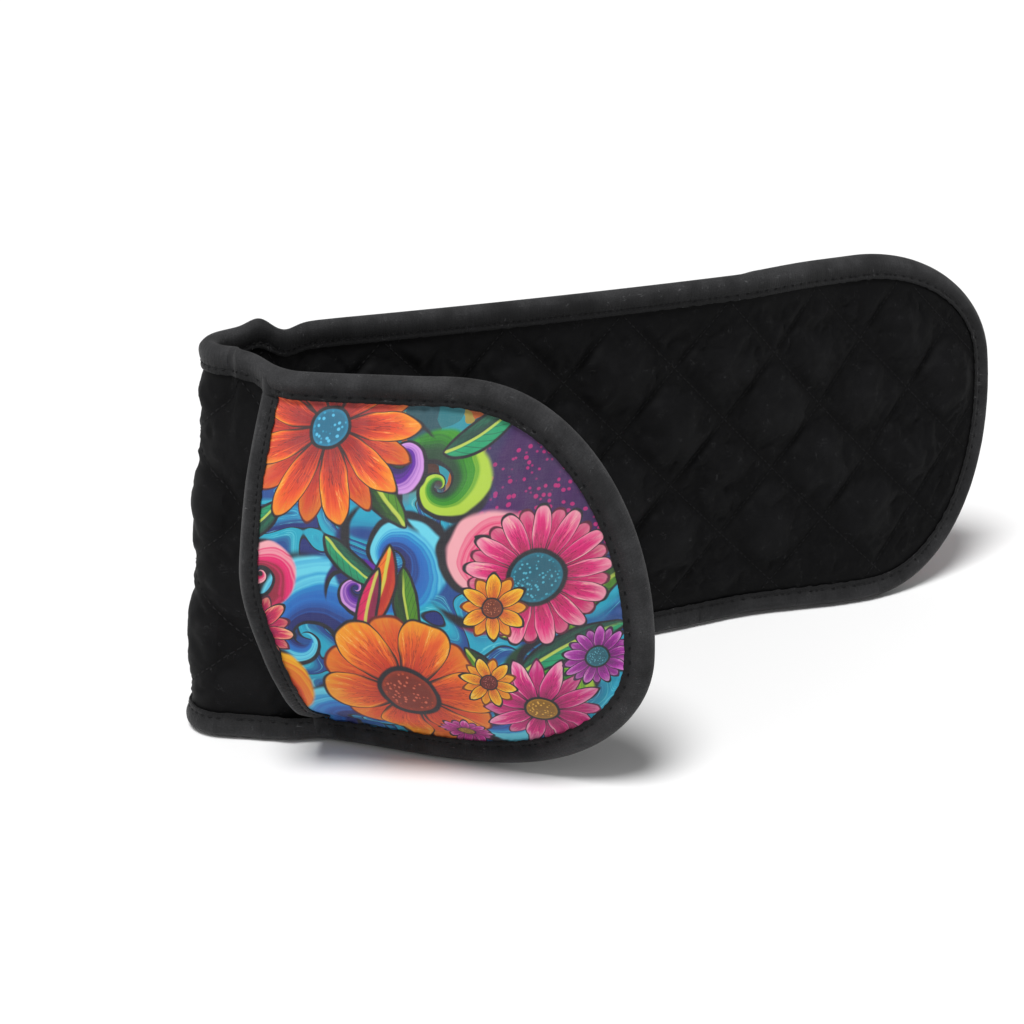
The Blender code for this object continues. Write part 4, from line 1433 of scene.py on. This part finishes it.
FLOWERS = (
    # x, y, turn, size, petals, broad, squash, base, petal, tip, disc, disc size
    (0.134, 0.158, 0.30, 0.040, 9.0, 1.55, 1.00,
     (0.50, 0.02, 0.02), (0.95, 0.16, 0.015), (1.0, 0.46, 0.04), (0.10, 0.60, 0.85), 0.18),
    (0.098, 0.046, 0.90, 0.041, 6.0, 3.20, 1.20,
     (0.70, 0.08, 0.02), (0.96, 0.24, 0.02), (1.0, 0.52, 0.10), (0.75, 0.13, 0.02), 0.30),
    (0.046, 0.100, 0.15, 0.029, 13.0, 2.60, 1.00,
     (0.55, 0.02, 0.16), (0.92, 0.20, 0.42), (1.0, 0.58, 0.66), (0.04, 0.48, 0.62), 0.34),
    (0.062, 0.088, 0.50, 0.015, 6.0, 1.50, 1.00,
     (0.80, 0.20, 0.01), (1.0, 0.50, 0.03), (1.0, 0.80, 0.30), (0.65, 0.16, 0.01), 0.26),
    (0.044, 0.040, 1.20, 0.028, 8.0, 1.35, 1.15,
     (0.50, 0.02, 0.22), (0.88, 0.14, 0.42), (1.0, 0.60, 0.74), (0.95, 0.55, 0.04), 0.24),
    (0.064, 0.054, 2.30, 0.013, 6.0, 1.40, 1.00,
     (0.85, 0.25, 0.01), (1.0, 0.55, 0.05), (1.0, 0.84, 0.40), (0.50, 0.05, 0.01), 0.25),
    (0.160, 0.074, 0.60, 0.017, 7.0, 1.70, 1.00,
     (0.45, 0.03, 0.18), (0.85, 0.20, 0.30), (1.0, 0.62, 0.45), (0.95, 0.50, 0.05), 0.28),
    (0.080, 0.020, 0.20, 0.012, 8.0, 1.90, 1.00,
     (0.40, 0.02, 0.25), (0.75, 0.15, 0.50), (0.95, 0.60, 0.80), (0.90, 0.60, 0.10), 0.28),
    (0.022, 0.064, 0.90, 0.014, 9.0, 1.80, 1.00,
     (0.30, 0.03, 0.30), (0.60, 0.14, 0.55), (0.90, 0.55, 0.85), (0.10, 0.50, 0.60), 0.30),
)


def printed_cotton():
    """The printed cloth: ground, dabs, speckle, scrolls, leaves and flowers, then the cloth's own
    weave, which dulls and lightens the ink a little where threads stand up."""
    material, tree, shader, cloth_map = new_material("printed_floral_cotton")
    u, v = apart(tree, cloth_map)
    wander = noise(tree, cloth_map, 45.0, 2.0) - 0.5
    brushed = together(tree, u + wander * 0.0035, v - wander * 0.0035)
    colour = use_group(tree, STREAMS, Map=brushed)["Colour"]
    dabs = use_group(tree, DABS, Map=brushed)["Colour"]
    loose = (v + wander * 0.02).step(0.128, 0.142) * (u + wander * 0.02).step(0.118, 0.104)
    colour = mix(tree, loose, colour, dabs)
    violet = (v + wander * 0.03).step(0.096, 0.112) * (u + wander * 0.03).step(0.078, 0.060)
    dusk = mix(tree, noise(tree, brushed, 60.0, 3.0), (0.05, 0.015, 0.14), (0.20, 0.04, 0.26))
    seeds = add_node(tree, "ShaderNodeTexVoronoi", Vector=brushed, Scale=330.0)
    dots = Wire(tree, seeds.outputs["Distance"]).step(0.34, 0.22)
    dusk = mix(tree, dots * 0.8, dusk, (0.75, 0.10, 0.35))
    colour = mix(tree, violet, colour, dusk)
    for x, y, turn, size, tightness, width, sweep, paints in SCROLLS:
        colour = use_group(
            tree, SCROLL, Below=colour, Map=brushed, X=x, Y=y, Turn=turn, Size=size,
            Tightness=tightness, Width=width, Sweep=sweep,
            Dark=paints[0], Middle=paints[1], Light=paints[2],
        )["Colour"]
    for x, y, turn, size, width, bend, paints in LEAVES:
        colour = use_group(
            tree, LEAF, Below=colour, Map=brushed, X=x, Y=y, Turn=turn, Size=size,
            Width=width, Bend=bend, Dark=paints[0], Light=paints[1], Outline=0.0011 / size,
        )["Colour"]
    for x, y, turn, size, petals, broad, squash, base, petal, tip, disc, disc_size in FLOWERS:
        colour = use_group(
            tree, FLOWER, Below=colour, Map=brushed, X=x, Y=y, Turn=turn, Size=size,
            Petals=petals, Broad=broad, Squash=squash, Base=base, Petal=petal, Tip=tip,
            Disc=disc, Disc_Size=disc_size, Outline=0.0011 / size,
        )["Colour"]
    deep = add_node(tree, "ShaderNodeGamma", Gamma=1.45, Color=colour)
    toned = add_node(
        tree, "ShaderNodeHueSaturation", Saturation=1.12, Value=0.72,
        Color=Wire(tree, deep.outputs["Color"]),
    )
    colour = Wire(tree, toned.outputs["Color"])
    weave = use_group(tree, WEAVE, Map=cloth_map, Pitch=0.00045)
    greying_mask = use_group(tree, WEAR_AND_HIGHLIGHT, Map=cloth_map, Mark=1.0 - mark_wire(tree, "centre"), Strength=0.06)
    thread = weave["Tone"] * 0.07 + weave["Height"] * 0.05
    colour = mix(tree, thread, colour, mix(tree, 0.5, colour, (0.75, 0.75, 0.75)))
    colour = mix(tree, greying_mask["Mask"], colour, (0.55, 0.54, 0.52))
    feed(tree, shader.inputs["Base Color"], colour)
    feed(tree, shader.inputs["Roughness"], 0.60 + weave["Tone"] * 0.16)
    shader.inputs["Sheen Weight"].default_value = 0.04
    shader.inputs["Sheen Roughness"].default_value = 0.4
    shader.inputs["Specular IOR Level"].default_value = 0.25
    fuzz = weave["Height"] + noise(tree, cloth_map, 700.0, 2.0) * 0.6
    bump_node = add_node(tree, "ShaderNodeBump", Strength=0.5, Distance=0.00008, Height=fuzz)
    feed(tree, shader.inputs["Normal"], Wire(tree, bump_node.outputs["Normal"]))
    print("the print has", len(SCROLLS) + len(LEAVES) + len(FLOWERS), "motifs")
    return material


PRINT = printed_cotton()

# %% [markdown]
# ## Finishes on the pieces
# Each piece takes its material.

# %% Dress the pieces


def dress(piece, material):
    """Gives a piece its material."""
    piece.data.materials.append(material)


for side, piece in strips.items():
    dress(piece, BLACK_CLOTH)
for (side, layer), piece in pockets.items():
    printed = layer == "print"
    dress(piece, PRINT if printed else LINING)
for piece in tapes.values():
    dress(piece, BINDING_COTTON)
for piece in list(stitch_rows.values()) + list(quilting.values()):
    dress(piece, THREAD)

# %% [markdown]
# ## Bodies, and the parts that each piece replaces
# A mitt's strip, binding and stitches cross the fold beside its pocket; they are left where they are
# built and ride with no body. The planes just past the mouth and just before the strap's corner,
# between which such pieces would bend, are worked out but not used. Everything on the pocket rides
# with the mitt, the strap's pieces ride with the band, and each piece hides the solids of the part
# that it replaces.

# %% Ride and replace
BLEND_MARGIN = 0.0002
middle_out = STRIP_FULL / 2
for side in ("near", "far"):
    mouth_end, cut_end = (
        place(along_of(side, distance), STRIP_WIDTH / 2, middle_out)
        for distance in (POCKET_DEPTH + MOUTH_REACH + BLEND_MARGIN, CUT_FROM_TIP - BLEND_MARGIN)
    )
    body = f"{side}_mitt"
    crossing = {
        strips[side]: ("palm_cloth", "wadding", "back_cloth"),
        tapes[side]: ("edge_binding",),
        stitch_rows[side, "front"]: ("front_stitching",),
        stitch_rows[side, "palm"]: ("palm_stitching",),
        quilting[side]: (),
    }
    riding = {
        pockets[side, "print"]: ("pocket_print",),
        pockets[side, "lining"]: ("pocket_lining", "pocket_wadding"),
        tapes[f"{side} mouth"]: ("mouth_binding",),
        stitch_rows[side, "mouth"]: ("mouth_stitching",),
    }
    for piece, nodes in crossing.items():
        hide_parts(*(f"{side}_{node}" for node in nodes))
        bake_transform(piece)
    for piece, nodes in riding.items():
        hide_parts(*(f"{side}_{node}" for node in nodes))
        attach(piece, body)

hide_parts("band_palm_cloth", "band_wadding", "band_outer_cloth")
for edge_name in ("upper", "lower"):
    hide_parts(f"band_{edge_name}_binding")
    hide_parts(f"band_{edge_name}_outer_stitching")
    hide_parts(f"band_{edge_name}_palm_stitching")
    for piece in (tapes[edge_name], stitch_rows[edge_name, "front"], stitch_rows[edge_name, "palm"]):
        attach(piece, "band")
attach(strips["band"], "band")
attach(quilting["band"], "band")

# %% [markdown]
# ## Floor, light and camera
# The studio is plain: a wide pale floor, a soft sun high on the left, a weak lamp at the far left
# and an even surround. The cloth is nearly black and shows its quilting only by light that grazes
# it, so the sun is high. The camera has a long lens and looks down by twenty degrees.

# %% Studio
FLOOR_SIDE = 40.0
scene = bpy.context.scene
world = bpy.data.worlds.new("studio")
scene.world = world
world.use_nodes = True
world.node_tree.nodes["Background"].inputs["Color"].default_value = (1.0, 1.0, 1.0, 1.0)
world.node_tree.nodes["Background"].inputs["Strength"].default_value = 0.32
scene.view_settings.view_transform = "Standard"

floor_height = cad_box[0].z - 0.0008
bpy.ops.mesh.primitive_grid_add(
    x_subdivisions=2, y_subdivisions=2, size=FLOOR_SIDE, location=(0, 0, floor_height)
)
floor = bpy.context.object
floor.name = "floor"
floor_material = bpy.data.materials.new("pale_floor")
floor_material.use_nodes = True
floor_shader = floor_material.node_tree.nodes["Principled BSDF"]
floor_shader.inputs["Base Color"].default_value = (0.86, 0.86, 0.86, 1.0)
floor_shader.inputs["Roughness"].default_value = 0.9
floor.data.materials.append(floor_material)
floor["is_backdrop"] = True


def area_light(name, place_at, aim, size, power):
    """A square soft light at a place, turned to an aim."""
    data = bpy.data.lights.new(name, "AREA")
    data.size, data.energy = size, power
    lamp = bpy.data.objects.new(name, data)
    bpy.context.scene.collection.objects.link(lamp)
    lamp.location = place_at
    away = np.array(place_at) - np.array(aim)
    lamp.rotation_euler = (
        math.atan2(math.hypot(away[0], away[1]), away[2]), 0.0, math.atan2(away[0], -away[1])
    )
    return lamp


sun_data = bpy.data.lights.new("soft_sun", "SUN")
sun_data.energy, sun_data.angle = 3.2, math.radians(22)
sun = bpy.data.objects.new("soft_sun", sun_data)
scene.collection.objects.link(sun)
sun.rotation_euler = (math.radians(24.0), 0.0, math.radians(-24.0))
area_light("left_fill", (-1.10, -0.90, 0.75), (0.0, 0.0, 0.09), 0.8, 2.5)

camera_data = bpy.data.cameras.new("camera")
camera_data.sensor_width = 36.0
camera_data.lens = 66.8
camera = bpy.data.objects.new("camera", camera_data)
scene.collection.objects.link(camera)
camera.location = (-0.0553, -0.8551, 0.3868)
camera.rotation_euler = (math.radians(70.0), 0.0, 0.0)
scene.camera = camera

# %% Print the sizes and finish
now_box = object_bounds()
growth = [[round((b - a) * 1000, 1) for a, b in zip(*pair)] for pair in zip(cad_box, now_box)]
print("the box grows by", growth, "mm")
